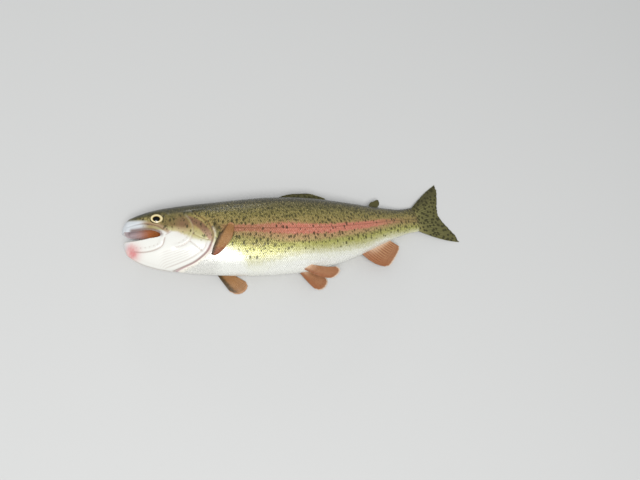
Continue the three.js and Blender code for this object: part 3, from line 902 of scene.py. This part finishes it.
def markingsGroup():
    # The colour of skin and scales, from the fields that markings gives.
    takes = {name.capitalize(): kind for name, kind in fields.items()}
    group, given, result = newGroup("troutMarkings", takes, {"Color": "Color"})
    flow = given["Flow"]
    x, _, _ = parts(flow)
    band, stripe, behind = parts(given["Bands"])
    slit, chin, rim = parts(given["Marks"])
    _, _, lining = parts(given["Tones"])
    ragged = noise(scaled(flow, (0.42, 0.16, 1)), 1.0, 4)
    cloud = noise(scaled(flow, (0.06, 0.09, 1)), 1.0, 3)
    # the borders of the bands are ragged
    warped = plus(band, plus(fit(ragged, 0.3, -0.15), fit(cloud, 0.24, -0.12)))
    colour, flecks = backTones(flow, ragged, warped, behind)
    colour, stripeShare = stripeTones(colour, x, ragged, stripe, flecks)
    colour = headTones(colour, x, ragged, warped, band, given)
    cover = spotCover(flow, cloud, warped, behind, stripeShare, given)
    colour = blend(times(cover, 0.8), colour, tone("spot"))
    # pale rim at the gill cover, partly a painted highlight along its front plate
    colour = blend(times(rim, 0.6, clamp=True), colour, tone("rim"))
    colour = blend(times(chin, fit(ragged, 0.9, 0.3), clamp=True), colour, tone("chin"))
    colour = blend(times(slit, 0.68, clamp=True), colour, tone("slit"))
    colour = blend(lining, colour, mouthTones(x, ragged, given["Low"]))
    feed(result, {"Color": colour})
    return group


markingsTree = markingsGroup()


def markedMaterial(name, coatRoughness):
    # A wet finish with the fish's markings. Gives the fields that they come from too.
    material, surface = newMaterial(name, coat=0.3, coatRoughness=coatRoughness, specular=0.25)
    given = {name.capitalize(): readField(name, 1 if kind == "Vector" else 2) for name, kind in fields.items()}
    marked = put("Group", given, node_tree=markingsTree)
    return material, surface, marked, given


def skinMaterial():
    material, surface, marked, given = markedMaterial("wetSkin", 0.16)
    mottle = noise(scaled(given["Flow"], (0.8, 0.8, 1)), 1.0, 4)
    # painted shade darkens the grooves of the head
    shaded = blend(times(readField("creaseShade", 2), 0.75), marked, tone("creaseShade"), "MULTIPLY")
    grain = noise(scaled(given["Flow"], (2.1, 2.1, 1)), 1.0, 2)
    feed(surface, {
        "Base Color": blend(0.16, shaded, grey(mottle), "SOFT_LIGHT"),
        "Roughness": fit(mottle, 0.24, 0.3),
        "Normal": bumped(grain, 0.00005, 0.5),
    })
    return material


def scaleMaterial():
    material, surface, marked, given = markedMaterial("wetScales", 0.12)
    u, v, luck = parts(readField("plate"))
    band, _, _ = parts(given["Bands"])
    away = calc("SQRT", plus(times(u, u), times(v, v)))
    # the scales of the back have dark rims
    rimmed = times(step(away, 0.66, 0.98), step(band, -0.9, 0.5, 0.03, 0.42))
    colour = blend(rimmed, marked, tone("spot"))
    # each scale of the lateral line has a short dark pore
    pore = times(step(luck, 1.4, 1.6), step(calc("ABSOLUTE", v), 0.34, 0.12))
    colour = blend(times(pore, 0.38), colour, tone("spot"))
    luck = calc("MODULO", luck, 1.0)
    feed(surface, {
        "Base Color": blend(0.2, colour, grey(fit(luck, 0.5, 0.25)), "SOFT_LIGHT"),
        "Roughness": fit(luck, 0.16, 0.22),
        "Metallic": step(band, 0.9, -0.7, 0.0, 0.22),
        "Normal": bumped(calc("SINE", times(away, 34.0)), 0.00002, 0.4),
    })
    return material


def eyeMaterial():
    material, surface = newMaterial("eyeGloss", 0.08, coat=0.32, specular=0.1)
    disc = readField("disc")
    _, up, r = parts(disc)
    fibres = noise(scaled(disc, (7, 7, 1.6)), 1.0, 4)
    dusky = times(step(fibres, 0.45, 0.7), step(up, 0.15, -0.75, 0.25, 0.75))
    iris = blend(dusky, bands(r, colours["iris"]), tone("irisDusk"))
    feed(surface, {
        "Base Color": blend(step(r, 0.53, 0.49), iris, tone("pupil")),
        "Roughness": step(r, 0.5, 0.46, 0.3, 0.04),
    })
    return material


def finMaterial(name, look):
    material, surface = newMaterial(name, 0.4, coat=0.15, coatRoughness=0.2, specular=0.2)
    web, ray, root, margin, front = (linear(code) for code in look[:5])
    spotted = look[5]
    index, out, ridge = parts(readField("fin"))
    flow = readField("flow")
    mottle = noise(scaled(flow, (0.35, 0.35, 0.35)), 1.0, 4)
    colour = blend(ridge, web, ray)
    atRoot = step(plus(out, fit(mottle, 0.3, -0.15)), 0.36, 0.05)
    colour = blend(atRoot, colour, root)
    # the first rays are darker; on the pectoral fins this is partly painted shadow from the gill cover
    atFront = step(plus(index, times(mottle, 2)), 6.2, 2.2)
    colour = blend(times(atFront, 0.85), colour, front)
    colour = blend(step(out, 0.93, 1.0), colour, margin)
    colour = blend(0.3, colour, grey(mottle), "SOFT_LIGHT")
    if spotted:
        cells = {"Vector": scaled(flow, (0.19, 0.19, 0)), "Scale": 1.0, "Randomness": 1.0}
        distance = put("TexVoronoi", cells, 0, voronoi_dimensions="2D")
        dark = step(plus(distance, times(mottle, 0.16)), 0.44, 0.36)
        colour = blend(times(dark, spotted), colour, tone("spot"))
    # the rays are jointed
    joints = times(calc("SINE", times(out, 150.0)), times(ridge, step(out, 0.2, 0.4)))
    feed(surface, {"Base Color": colour, "Normal": bumped(plus(joints, mottle), 0.00006, 0.5)})
    return material


def mouthMaterial(name, first, second):
    material, surface = newMaterial(name, 0.3, coat=0.6, coatRoughness=0.1)
    place = put("TexCoord", (), 3)
    colour = blend(noise(place, 420.0, 4), linear(first), linear(second))
    feed(surface, {"Base Color": colour, "Normal": bumped(noise(place, 1600.0, 2), 0.0001, 0.5)})
    return material


base = skinPiece()
for node in ["head", "lower_jaw", "throat", "trunk_front", "trunk_rear", "tail_stalk"]:
    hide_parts(node)
for side in ("left", "right"):
    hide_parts(f"gill_cover_{side}", f"maxilla_{side}")
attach(base, "root")
base.data.materials.append(skinMaterial())


scales = {
    "pitch": [(70, 1.7), (100, 2.05), (220, 2.15), (300, 1.9), (374, 1.5)],  # from one scale to the next
    "rowShare": 0.93,  # the rows lie this much closer than the scales along them
    "rows": 60,  # over and under the lateral line, more than there is room for
    "longHalf": 0.92, "wideHalf": 0.77,  # half a scale's length and width, in pitches
    "sides": 10, "topShare": 0.74, "thick": 0.09, "rootLow": -0.16, "tipHigh": 0.11, "clear": 0.06,
    "size": 0.05, "lift": 0.025, "turn": 0.06,  # how much each scale differs from its neighbours
    "rearNarrow": 0.12,  # a scale is a little narrower at its rear
    "from": 72, "to": 376, "napeFrom": 74, "napeUp": 21, "behindGill": 3.2, "ridgeEdge": 0.9, "ridgeRise": 0.05,
    "smallTo": 135, "smallBy": 0.3,  # the scales get smaller and lower at the gill cover and the nape
    "floorGap": 0.02, "topGap": 0.06, "reliefTo": 130, "rearArc": 0.012,
    "patch": 0.003, "unrolledRound": 400,
    # the middle row of the right side, none, the left side, the ridge, the belly's line
    "patchRows": [0.75, 0, 0.25, 0.48, 0.52],
    "bands": {"scalesBack": (14, 99), "scalesFlank": (-17, 14), "scalesBelly": (-99, -17)},
}
tableGirth, tableTurn = girthTable()
scalePitch = smoothCurve(scales["pitch"])


def flankPoint(x, girth, side, grow):
    # The place on the body's outline at a distance round it from the lateral line, moved out by grow.
    # On side 2, the ridge of the back, and side 3, the belly's middle, it is the distance across that line.
    turn = side * gridLookup(tableTurn, x, (girth - tableGirth[0]) / (tableGirth[1] - tableGirth[0]))
    across = girth / flankWidth(x)
    turn = np.where(side == 2, across, np.where(side == 3, math.pi - across, turn))
    return bodyPoint(x, turn, grow), np.abs(turn)


def oneScale():
    # A thin closed plate of unit size: its round foot, and a smaller round top.
    bm = bmesh.new()
    bmesh.ops.create_circle(bm, cap_ends=True, radius=1, segments=scales["sides"])
    bmesh.ops.scale(bm, verts=extruded(bm, 1), vec=(scales["topShare"], scales["topShare"], 1))
    return fromBmesh("scale", bm)


def scaleRoots():
    # The middle of every scale: how far along the fish, how far round it, and on which side.
    x, roots = scales["from"], []
    while x < scales["to"]:
        pitch = float(scalePitch(x))
        rise = pitch * scales["rowShare"]
        for row in range(-scales["rows"], scales["rows"] + 1):
            roots += [(x + 0.5 * pitch * (row % 2), row * rise, side) for side in (1, -1)]
        roots += [(x, 0, 2), (x, 0, 3)]
        x += pitch
    x, girth, side = np.array(roots).T
    p, turn = flankPoint(x, girth, side, 0)
    gill, _ = lineDistance(p[:, :2], headLines["gillEdge"])
    edge = scales["ridgeEdge"] * scalePitch(x) * 0.5 / flankWidth(x)
    stays = (side > 1) | ((turn > edge) & (turn < math.pi - edge))
    up = p[:, 1] - scales["napeUp"]
    stays &= (gill > scales["behindGill"]) | ((up > 0) & (p[:, 0] > scales["napeFrom"] + 0.5 * up))
    stays &= x < scales["to"] - scales["rearArc"] * p[:, 1] ** 2
    return np.stack([x, girth, side])[:, stays]


def nearCover(x, middles):
    # 1 for scales at the gill cover's edge and the nape, 0 for scales further back.
    gill, _ = lineDistance(middles[:, :2], headLines["gillEdge"])
    up = middles[:, 1] - scales["napeUp"]
    nape = x - scales["napeFrom"] - 0.5 * np.maximum(up, 0) + 1.5
    border = np.minimum(np.where(gill > 0, gill, 99), np.where(up > 0, nape, 99))
    return np.where(x < scales["smallTo"], 1 - ramp(border, 1.5, 8), 0)


def addPatches(mesh, x, girth, side, u, v):
    # A small patch for each scale on the fish's unrolled sides, the left one below the right one.
    half = scales["patch"] / 2
    across = np.choose(side.astype(int) + 1, scales["patchRows"]) + girth / scales["unrolledRound"]
    unrolled = np.stack([0.05 + 0.9 * x / body["fleshEnd"] + half * u, across + half * v], -1)
    corners = np.empty(len(mesh.loops), np.int32)
    mesh.loops.foreach_get("vertex_index", corners)
    layer = mesh.uv_layers.new(name="OFBake")
    layer.data.foreach_set("uv", unrolled[corners].astype(np.float32).ravel())


def plates(name, total):
    # So many plates in one mesh, and where each point is in its own plate.
    piece = oneScale()
    rows = piece.modifiers.new("rows", "ARRAY")
    rows.count, rows.relative_offset_displace = total, (1, 0, 0)
    inPlate = np.tile(readPoints(piece.data), (total, 1)).T
    piece = applied(piece)
    piece.name = piece.data.name = name
    return piece, inPlate


def scalePiece(name, roots, small):
    total = len(small)
    piece, (u, v, w) = plates(name, total)
    each = len(u) // total
    size, lift, turn = (
        np.repeat(scales[key] * rng.uniform(-1, 1, total), each) for key in ("size", "lift", "turn"))
    rootX, rootGirth, side = np.repeat(roots, each, axis=1)
    # 2 for the scales of the lateral line, which have a pore
    luck = np.where((rootGirth == 0) & (side < 2), 2, np.repeat(rng.uniform(0, 1, total), each))
    less = scales["smallBy"] * np.repeat(small, each)
    pitch = scalePitch(rootX) * (1 + size) * (1 - less)
    narrow = 1 - scales["rearNarrow"] * u
    along = np.cos(turn) * u + np.sin(turn) * v * narrow
    across = np.cos(turn) * v * narrow - np.sin(turn) * u
    x = rootX + along * pitch * scales["longHalf"]
    girth = rootGirth + across * pitch * scales["wideHalf"]
    # the rear of each scale lies on the fronts of the next ones
    share = (u + 1) / 2
    high = scales["rootLow"] + (scales["tipHigh"] - scales["rootLow"] + lift) * share * (1 - less) ** 2
    high += w * scales["thick"] * (1 - less) ** 2 - less * (1 - share)
    high += scales["clear"] - body["coatDepth"] + scales["ridgeRise"] * (side > 1)
    under, _ = flankPoint(x, girth, side, 0)
    near = rootX < scales["reliefTo"]
    high[near] += headRelief(under[near])
    p, _ = flankPoint(x, girth, side, high)
    settle(piece, p, scales["floorGap"] + scales["topGap"] * w)
    for field, values in markings(p).items():
        store(piece.data, field, values)
    store(piece.data, "plate", np.stack([u, v, luck], -1))
    addPatches(piece.data, rootX, rootGirth, side, u, v)
    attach(piece, "root")
    print(name, total, "scales,", total * (4 * scales["sides"] - 4), "triangles")
    return piece


roots = scaleRoots()
nearness = nearCover(roots[0], flankPoint(*roots, 0)[0])
level = np.select([roots[2] == 2, roots[2] == 3], [98, -98], roots[1])
coatFinish = scaleMaterial()
for name, (low, top) in scales["bands"].items():
    chosen = (level >= low) & (level < top)
    scalePiece(name, roots[:, chosen], nearness[chosen]).data.materials.append(coatFinish)


eyeLook = {
    "spokes": 64, "rings": 48, "lining": 1.2,  # the back of the ball counts as this far from the pupil
    "irisFrom": 0.5, "irisTo": 0.9, "irisInner": 0.95, "irisSlope": 0.75, "domeHigh": 1.7, "domeWide": 1.12,
    "pupilShift": (-0.04, -0.14),
}


def eyeProfile(r):
    # How far out from the cheek the eye's surface is, from its middle to its rim.
    low, top = eyeLook["irisFrom"], eyeLook["irisTo"]
    rim = -eye["depth"] + eye["half"][2] * np.sqrt(np.maximum(1 - r**2, 0))
    iris = eyeLook["irisInner"] - eyeLook["irisSlope"] * (r - low) / (top - low)
    lens = eyeLook["domeHigh"] * np.sqrt(np.maximum(1 - (r / (low * eyeLook["domeWide"])) ** 2, 0))
    share = ramp(r, top - 0.03, top + 0.05)
    return np.maximum(iris, lens) * (1 - share) + rim * share


def eyePieces():
    finish = eyeMaterial()
    x0, y0 = eye["centre"]
    for name, side in (("left", 1), ("right", -1)):
        piece = ball("eyeball_" + name, eyeLook["spokes"], eyeLook["rings"])
        u, v, w = readPoints(piece.data).T
        r = np.hypot(u, v)
        out = np.where(w > 0, eyeProfile(r), -eye["depth"] + eye["half"][2] * w)
        shift = 1 - ramp(r, 0.4, 0.95)
        x = x0 + eye["half"][0] * (u + shift * eyeLook["pupilShift"][0])
        y = y0 + eye["half"][1] * (v + shift * eyeLook["pupilShift"][1])
        settle(piece, np.stack([x, y, side * (flankAt(x0, y0) + out)], -1))
        store(piece.data, "disc", np.stack([u, v, np.where(w > 0, r, eyeLook["lining"])], -1))
        if side < 0:
            piece.data.flip_normals()
        piece.data.materials.append(finish)
        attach(piece, "root")
        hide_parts("eye_" + name)
    print("eyes done")


eyePieces()


def overFloor(points):
    # Points whose last number is the height over the floor, given in the straight fish.
    return [(x, y, rise - float(axisHeight(x))) for x, y, rise in points]


fins = {
    # root and margin from front to rear, how thick each is, and how far the first and last rays bow out
    "dorsal_fin": {
        "root": [(180, 41.5, 0), (196, 41.4, 0), (214, 40.2, 0), (232, 37.6, 0)],
        "margin": [(224, 50.4, -1.2), (234, 49, -1.4), (245, 45, -1), (255, 40.4, -0.4)],
        "bow": [(-2, 2.6, 0), (0, 0, 0)], "rays": 12, "pleat": 0.3, "finish": "olive",
    },
    "adipose_fin": {
        "root": [(311, 23, 0), (316, 22, 0), (321, 20.6, 0)],
        "margin": [(323, 34, -0.4), (328.5, 34.4, -0.5), (329.5, 29, -0.3)], "thick": (3, 1.3),
        "bow": [(-2.6, 2, 0), (0, 0, 0)], "rays": 0, "corner": 0.16, "finish": "adipose",
    },
    "caudal_fin": {
        "root": [(371, 13.8, 0), (373, 8, 0), (374, 0, 0), (373, -8, 0), (371, -13.8, 0)],
        "margin": [(427.6, 45, 0), (423, 30, 0), (415.5, 13, 0), (411.8, 0, 0), (415.5, -13, 0),
                   (423.5, -30, 0), (428.8, -45, 0)],
        "thick": (3.2, 0.85), "bow": [(0, 2.4, 0), (0, -2.4, 0)], "bowPower": 3,
        "rays": 19, "pleat": 0.12, "corner": 0.04, "finish": "tail",
    },
    "anal_fin": {
        "root": [(284, -34.6, 0), (298, -29.6, 0), (312, -25, 0), (325, -21, 0)],
        "margin": [(317, -58, -3.4), (325, -51.5, -2.8), (334, -42, -1.6), (340.5, -33.5, -0.6)],
        "bow": [(-2, -2.5, 0), (0, 0, 0)], "rays": 12, "pleat": 0.16, "finish": "reddish",
    },
    "pectoral_fin_left": {
        "root": [(102.5, -33, 0), (107, -34, 0), (112, -31.6, 0)],
        "margin": [(119, -2.2, 0), (123.8, 2.4, 0), (128.2, 1, 0), (129.8, -4.6, 0)],
        "lift": (-0.8, 4.4),  # over the flank, at the root and the margin
        "thick": (2.6, 0.8), "bow": [(-2.2, 1, 0), (2.8, -1, 0)],
        "rays": 13, "pleat": 0.22, "finish": "brick",
    },
    "pectoral_fin_right": {
        "root": [(102.5, -34, -13.5), (106.5, -35.5, -15), (111, -34, -15.5)],
        "margin": overFloor([(127, -68, 0.3), (137, -68, 0.3), (144, -63, 0.3), (147, -55, 0.6)]),
        "thick": (2.8, 0.85), "bow": [(0, 0, -1.5), (0, 0, -1.5)],
        "rays": 13, "pleat": 0.2, "finish": "brick",
    },
    "pelvic_fin_left": {
        "root": [(203, -47, 6), (207, -47, 8.5), (211.5, -45.5, 10.5)],
        "margin": [(236, -66, 6), (243, -64, 9), (248, -59.5, 12), (247.5, -54, 14.5)],
        "thick": (2.6, 0.8), "bow": [(0, -2, 1), (0, -2, 1)],
        "rays": 10, "pleat": 0.15, "finish": "reddish",
    },
    "pelvic_fin_right": {
        "root": [(203, -47, -6), (207, -47, -8.5), (211.5, -45.5, -10.5)],
        "margin": overFloor([(229, -71, 0.3), (238, -69, 0.3), (244, -62, 0.3), (243, -54, 0.8)]),
        "thick": (2.6, 0.85), "bow": [(0, -1.5, -1), (0, -1.5, -1)],
        "rays": 10, "pleat": 0.15, "finish": "reddish",
    },
}
finLooks = {
    # the web, the rays, the root, the margin, the first rays, and how dark the spots are
    "olive": ("5d5a36", "434126", "3f3d24", "77704a", "48452a", 0.8),
    "tail": ("6b683f", "4f4c2c", "837d4e", "55512f", "47442a", 0.85),
    "adipose": ("5a5632", "4a4728", "46442a", "2a2a18", "4c4829", 0),
    # the pectoral fins' first rays are very dark, partly their own colour and partly painted shadow between
    # gill cover and fin
    "brick": ("a88052", "7f522e", "8a4c2a", "b98d68", "322c16", 0),
    "reddish": ("a87c58", "845034", "c9a98c", "dccab6", "94603f", 0),
}
finWeave = {
    "thick": (2.4, 0.75), "corner": 0.07,  # for fins that give none
    "pointsPerRay": 12, "plainColumns": 48, "rows": 44, "web": 0.36, "rayWide": 0.16, "notch": 0.02,
    "fray": 0.02, "firstFork": 0.25, "secondFork": 0.125, "floorGap": 0.02, "topGap": 0.3,
}


def rayRelief(across, out, count):
    # 1 on a fin's rays and 0 between them. Each ray forks twice on its way to the margin.
    local = across * count % 1 - 0.5
    first = finWeave["firstFork"] * ramp(out, 0.3, 0.75)
    second = finWeave["secondFork"] * ramp(out, 0.62, 1.0)
    reach = np.min([np.abs(local - a - b) for a in (-first, first) for b in (-second, second)], axis=0)
    return bump(reach, 0, finWeave["rayWide"] * (1 - 0.55 * out))


def finLength(across, out, ridge, look):
    # The share of its full length that a fin has: less at its corners and between its rays.
    fray = finWeave["notch"] * (1 - ridge)
    fray += finWeave["fray"] * (0.5 + 0.5 * np.sin(across * 71) * np.sin(across * 29 + 2))
    corner = look.get("corner", finWeave["corner"]) * ramp(np.abs(2 * across - 1), 0.62, 1) ** 1.6
    return 1 - ((fray if look["rays"] else 0.01) + corner) * ramp(out, 0.5, 1)


def finPiece(name, look):
    count = look["rays"]
    columns = count * finWeave["pointsPerRay"] if count else finWeave["plainColumns"]
    bm = bmesh.new()
    bmesh.ops.create_grid(bm, x_segments=columns, y_segments=finWeave["rows"], size=0.5)
    extruded(bm, 1)
    piece = fromBmesh(name + "_rays", bm)
    across, out, level = readPoints(piece.data).T
    across, out, face = across + 0.5, out + 0.5, np.where(level > 0.5, 1, -1)
    root = lineAt(look["root"], across)
    ray = lineAt(look["margin"], across) - root
    normal = np.cross(lineAt(look["root"], across + 0.004) - lineAt(look["root"], across - 0.004), ray)
    normal /= np.linalg.norm(normal, axis=1, keepdims=True)
    ridge = rayRelief(across, out, count) if count else 0 * across
    first, last = np.array(look["bow"], float)
    spread = (1 - 2 * across)[:, None] ** look.get("bowPower", 1)
    bow = 0.5 * (first + last + (first - last) * spread) * np.sin(math.pi * out)[:, None]
    p = root + ray * (out * finLength(across, out, ridge, look))[:, None] + bow
    if "lift" in look:
        low, high = look["lift"]
        p[:, 2] += flankAt(p[:, 0], p[:, 1]) + low + (high - low) * out
    # thick at the root, on the rays and at the front and rear edges
    rootThick, tipThick = look.get("thick", finWeave["thick"])
    edge = ramp(np.minimum(across, 1 - across) * columns, 0, 5)
    thick = tipThick + (rootThick - tipThick) * (1 - out) ** 2.2
    web = finWeave["web"] + (rootThick * 0.8 - finWeave["web"]) * (1 - out) ** 5
    half = 0.5 * (web + (thick - web) * np.maximum(ridge, 1 - edge))
    half *= 1 - 0.5 * ramp(out, 0.9, 1) * (1 - ridge)
    pleat = look.get("pleat", 0) * np.cos(2 * math.pi * across * count) * ramp(out, 0.05, 0.4)
    p += normal * (face * half + pleat)[:, None]
    settle(piece, p, finWeave["floorGap"] + finWeave["topGap"] * (face * np.sign(normal[:, 2]) > 0))
    store(piece.data, "fin", np.stack([across * max(count, 1), out, ridge], -1))
    store(piece.data, "flow", p)
    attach(piece, "root")
    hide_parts(name)
    return piece


finFinishes = {name: finMaterial(name + "Fin", look) for name, look in finLooks.items()}
for finName, finLook in fins.items():
    finPiece(finName, finLook).data.materials.append(finFinishes[finLook["finish"]])
print("fins done")


tongue = {
    "spokes": 48, "rings": 36, "middle": (27, -18.4), "half": (15.5, 4.4, 6.6),
    "tipNarrow": 0.35, "tipDrop": 1.2, "grooveDeep": 0.9, "grooveWide": 0.22,
    "tones": ("d9a08c", "c98468"),
}


def tonguePiece():
    piece = ball("tongueBlade", tongue["spokes"], tongue["rings"])
    u, v, w = readPoints(piece.data).T
    (midX, midY), (halfX, halfY, halfZ) = tongue["middle"], tongue["half"]
    groove = tongue["grooveDeep"] * bump(w, 0, tongue["grooveWide"]) * (v > 0) * (1 - u**2)
    y = midY + halfY * v - groove - tongue["tipDrop"] * ramp(-u, 0.3, 1)
    z = halfZ * (1 - tongue["tipNarrow"] * ramp(-u, 0.2, 1)) * w
    settle(piece, np.stack([midX + halfX * u, y, z], -1))
    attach(piece, "root")
    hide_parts("tongue")
    return piece


teeth = {
    "long": 1.25, "wide": 0.36, "tipWide": 0.05, "sides": 7, "hook": 0.18, "inset": 1.3, "sunk": 0.35,
    # along each jaw: the lip, from where to where, the pitch, up or down, how far it leans back and inwards
    "jaws": [("upperLip", (5, 41, 1.55), -1, 0.25, 0.25), ("lowerLip", (5.5, 36, 1.9), 1, 0.3, 0.2)],
    "tongue": (18, 36, 2.6),
    # across the front of each jaw: the place along and up, up or down
    "front": [(3.1, -2.8, -1), (3.6, -15.6, 1)], "across": (-5.2, 5.3, 1.5),
    "tones": ("f2ead8", "e4d6b8"),
}


def toothPlaces():
    # The foot of each tooth and the way that it points.
    places = []
    for side in (1, -1):
        for lip, run, way, back, inwards in teeth["jaws"]:
            line = headLines[lip][np.argsort(headLines[lip][:, 0])]
            for x in np.arange(*run):
                y = float(np.interp(x, *line.T))
                z = side * (float(flankAt(x, y)) - teeth["inset"])
                places.append(((x, y - teeth["sunk"] * way, z), (back, way, -inwards * side)))
        for x in np.arange(*teeth["tongue"]):
            places.append(((x, -13.9 - 0.012 * (x - 27) ** 2, side * 2.3), (0.55, 1, 0)))
    for z in np.arange(*teeth["across"]):
        places += [((x + 0.03 * z * z, y, z), (0.35, way, 0)) for x, y, way in teeth["front"]]
    return places


def teethPiece():
    bm = bmesh.new()
    for foot, way in toothPlaces():
        foot, way = Vector(foot), Vector(way).normalized()
        turn = way.to_track_quat("Z", "Y").to_matrix().to_4x4()
        made = bmesh.ops.create_cone(bm, cap_ends=True, segments=teeth["sides"], radius1=teeth["wide"],
                                     radius2=teeth["tipWide"], depth=teeth["long"],
                                     matrix=Matrix.Translation(foot) @ turn)
        for v in made["verts"]:
            v.co.x += teeth["hook"] * max((v.co - foot).dot(way), 0)
    piece = fromBmesh("teeth", bm)
    settle(piece, readPoints(piece.data))
    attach(piece, "root")
    return piece


tonguePiece().data.materials.append(mouthMaterial("tongueFlesh", *tongue["tones"]))
teethPiece().data.materials.append(mouthMaterial("toothIvory", *teeth["tones"]))
print("mouth done")


camera = {
    "lens": 37.97, "film": 36, "azimuth": 31.53, "elevation": 66.79, "roll": 30.84, "distance": 833.53,
    "target": (20.26, -14.69, 25),
}


def addCamera():
    az, el, roll = (math.radians(camera[k]) for k in ("azimuth", "elevation", "roll"))
    forward = Vector((math.sin(az) * math.cos(el), math.cos(az) * math.cos(el), -math.sin(el)))
    level = forward.cross(Vector((0, 0, 1))).normalized()
    rise = level.cross(forward)
    right = math.cos(roll) * level + math.sin(roll) * rise
    up = math.cos(roll) * rise - math.sin(roll) * level
    place = (Vector(camera["target"]) - forward * camera["distance"]) * mm
    lens = bpy.data.cameras.new("camera")
    lens.lens, lens.sensor_width = camera["lens"], camera["film"]
    shooter = newObject("camera", lens)
    shooter.matrix_world = Matrix.Translation(place) @ Matrix((right, up, -forward)).transposed().to_4x4()
    bpy.context.scene.camera = shooter


studio = {
    # each lamp: where it stands, its watts and its size
    "lamps": {"key": ((-0.4, -1.3, 2.75), 86, 1.5), "rim": ((-0.4, 2.6, 0.75), 5, 0.5)},
    "fill": (0.94, 0.97, 1.0), "fillStrength": 0.42, "floor": (0.56, 0.56, 0.55), "floorSize": 3,
}


def addStudio():
    bm = bmesh.new()
    bmesh.ops.create_grid(bm, x_segments=1, y_segments=1, size=studio["floorSize"])
    floor = fromBmesh("floor", bm)
    material, surface = newMaterial("paleFloor", 0.75)
    surface["Base Color"].default_value = (*studio["floor"], 1)
    floor.data.materials.append(material)
    for name, (spot, watts, size) in studio["lamps"].items():
        lamp = bpy.data.lights.new(name, "AREA")
        lamp.energy, lamp.size, lamp.shape = watts, size, "DISK"
        facing = Vector(spot).to_track_quat("Z", "Y").to_matrix().to_4x4()
        newObject(name, lamp).matrix_world = Matrix.Translation(spot) @ facing
    world = bpy.data.worlds.new("studio")
    bpy.context.scene.world = world
    world.use_nodes = True
    sky = world.node_tree.nodes["Background"].inputs
    sky["Color"].default_value = (*studio["fill"], 1)
    sky["Strength"].default_value = studio["fillStrength"]
    bpy.context.scene.view_settings.view_transform = "Standard"


addCamera()
addStudio()
print("camera and studio done")
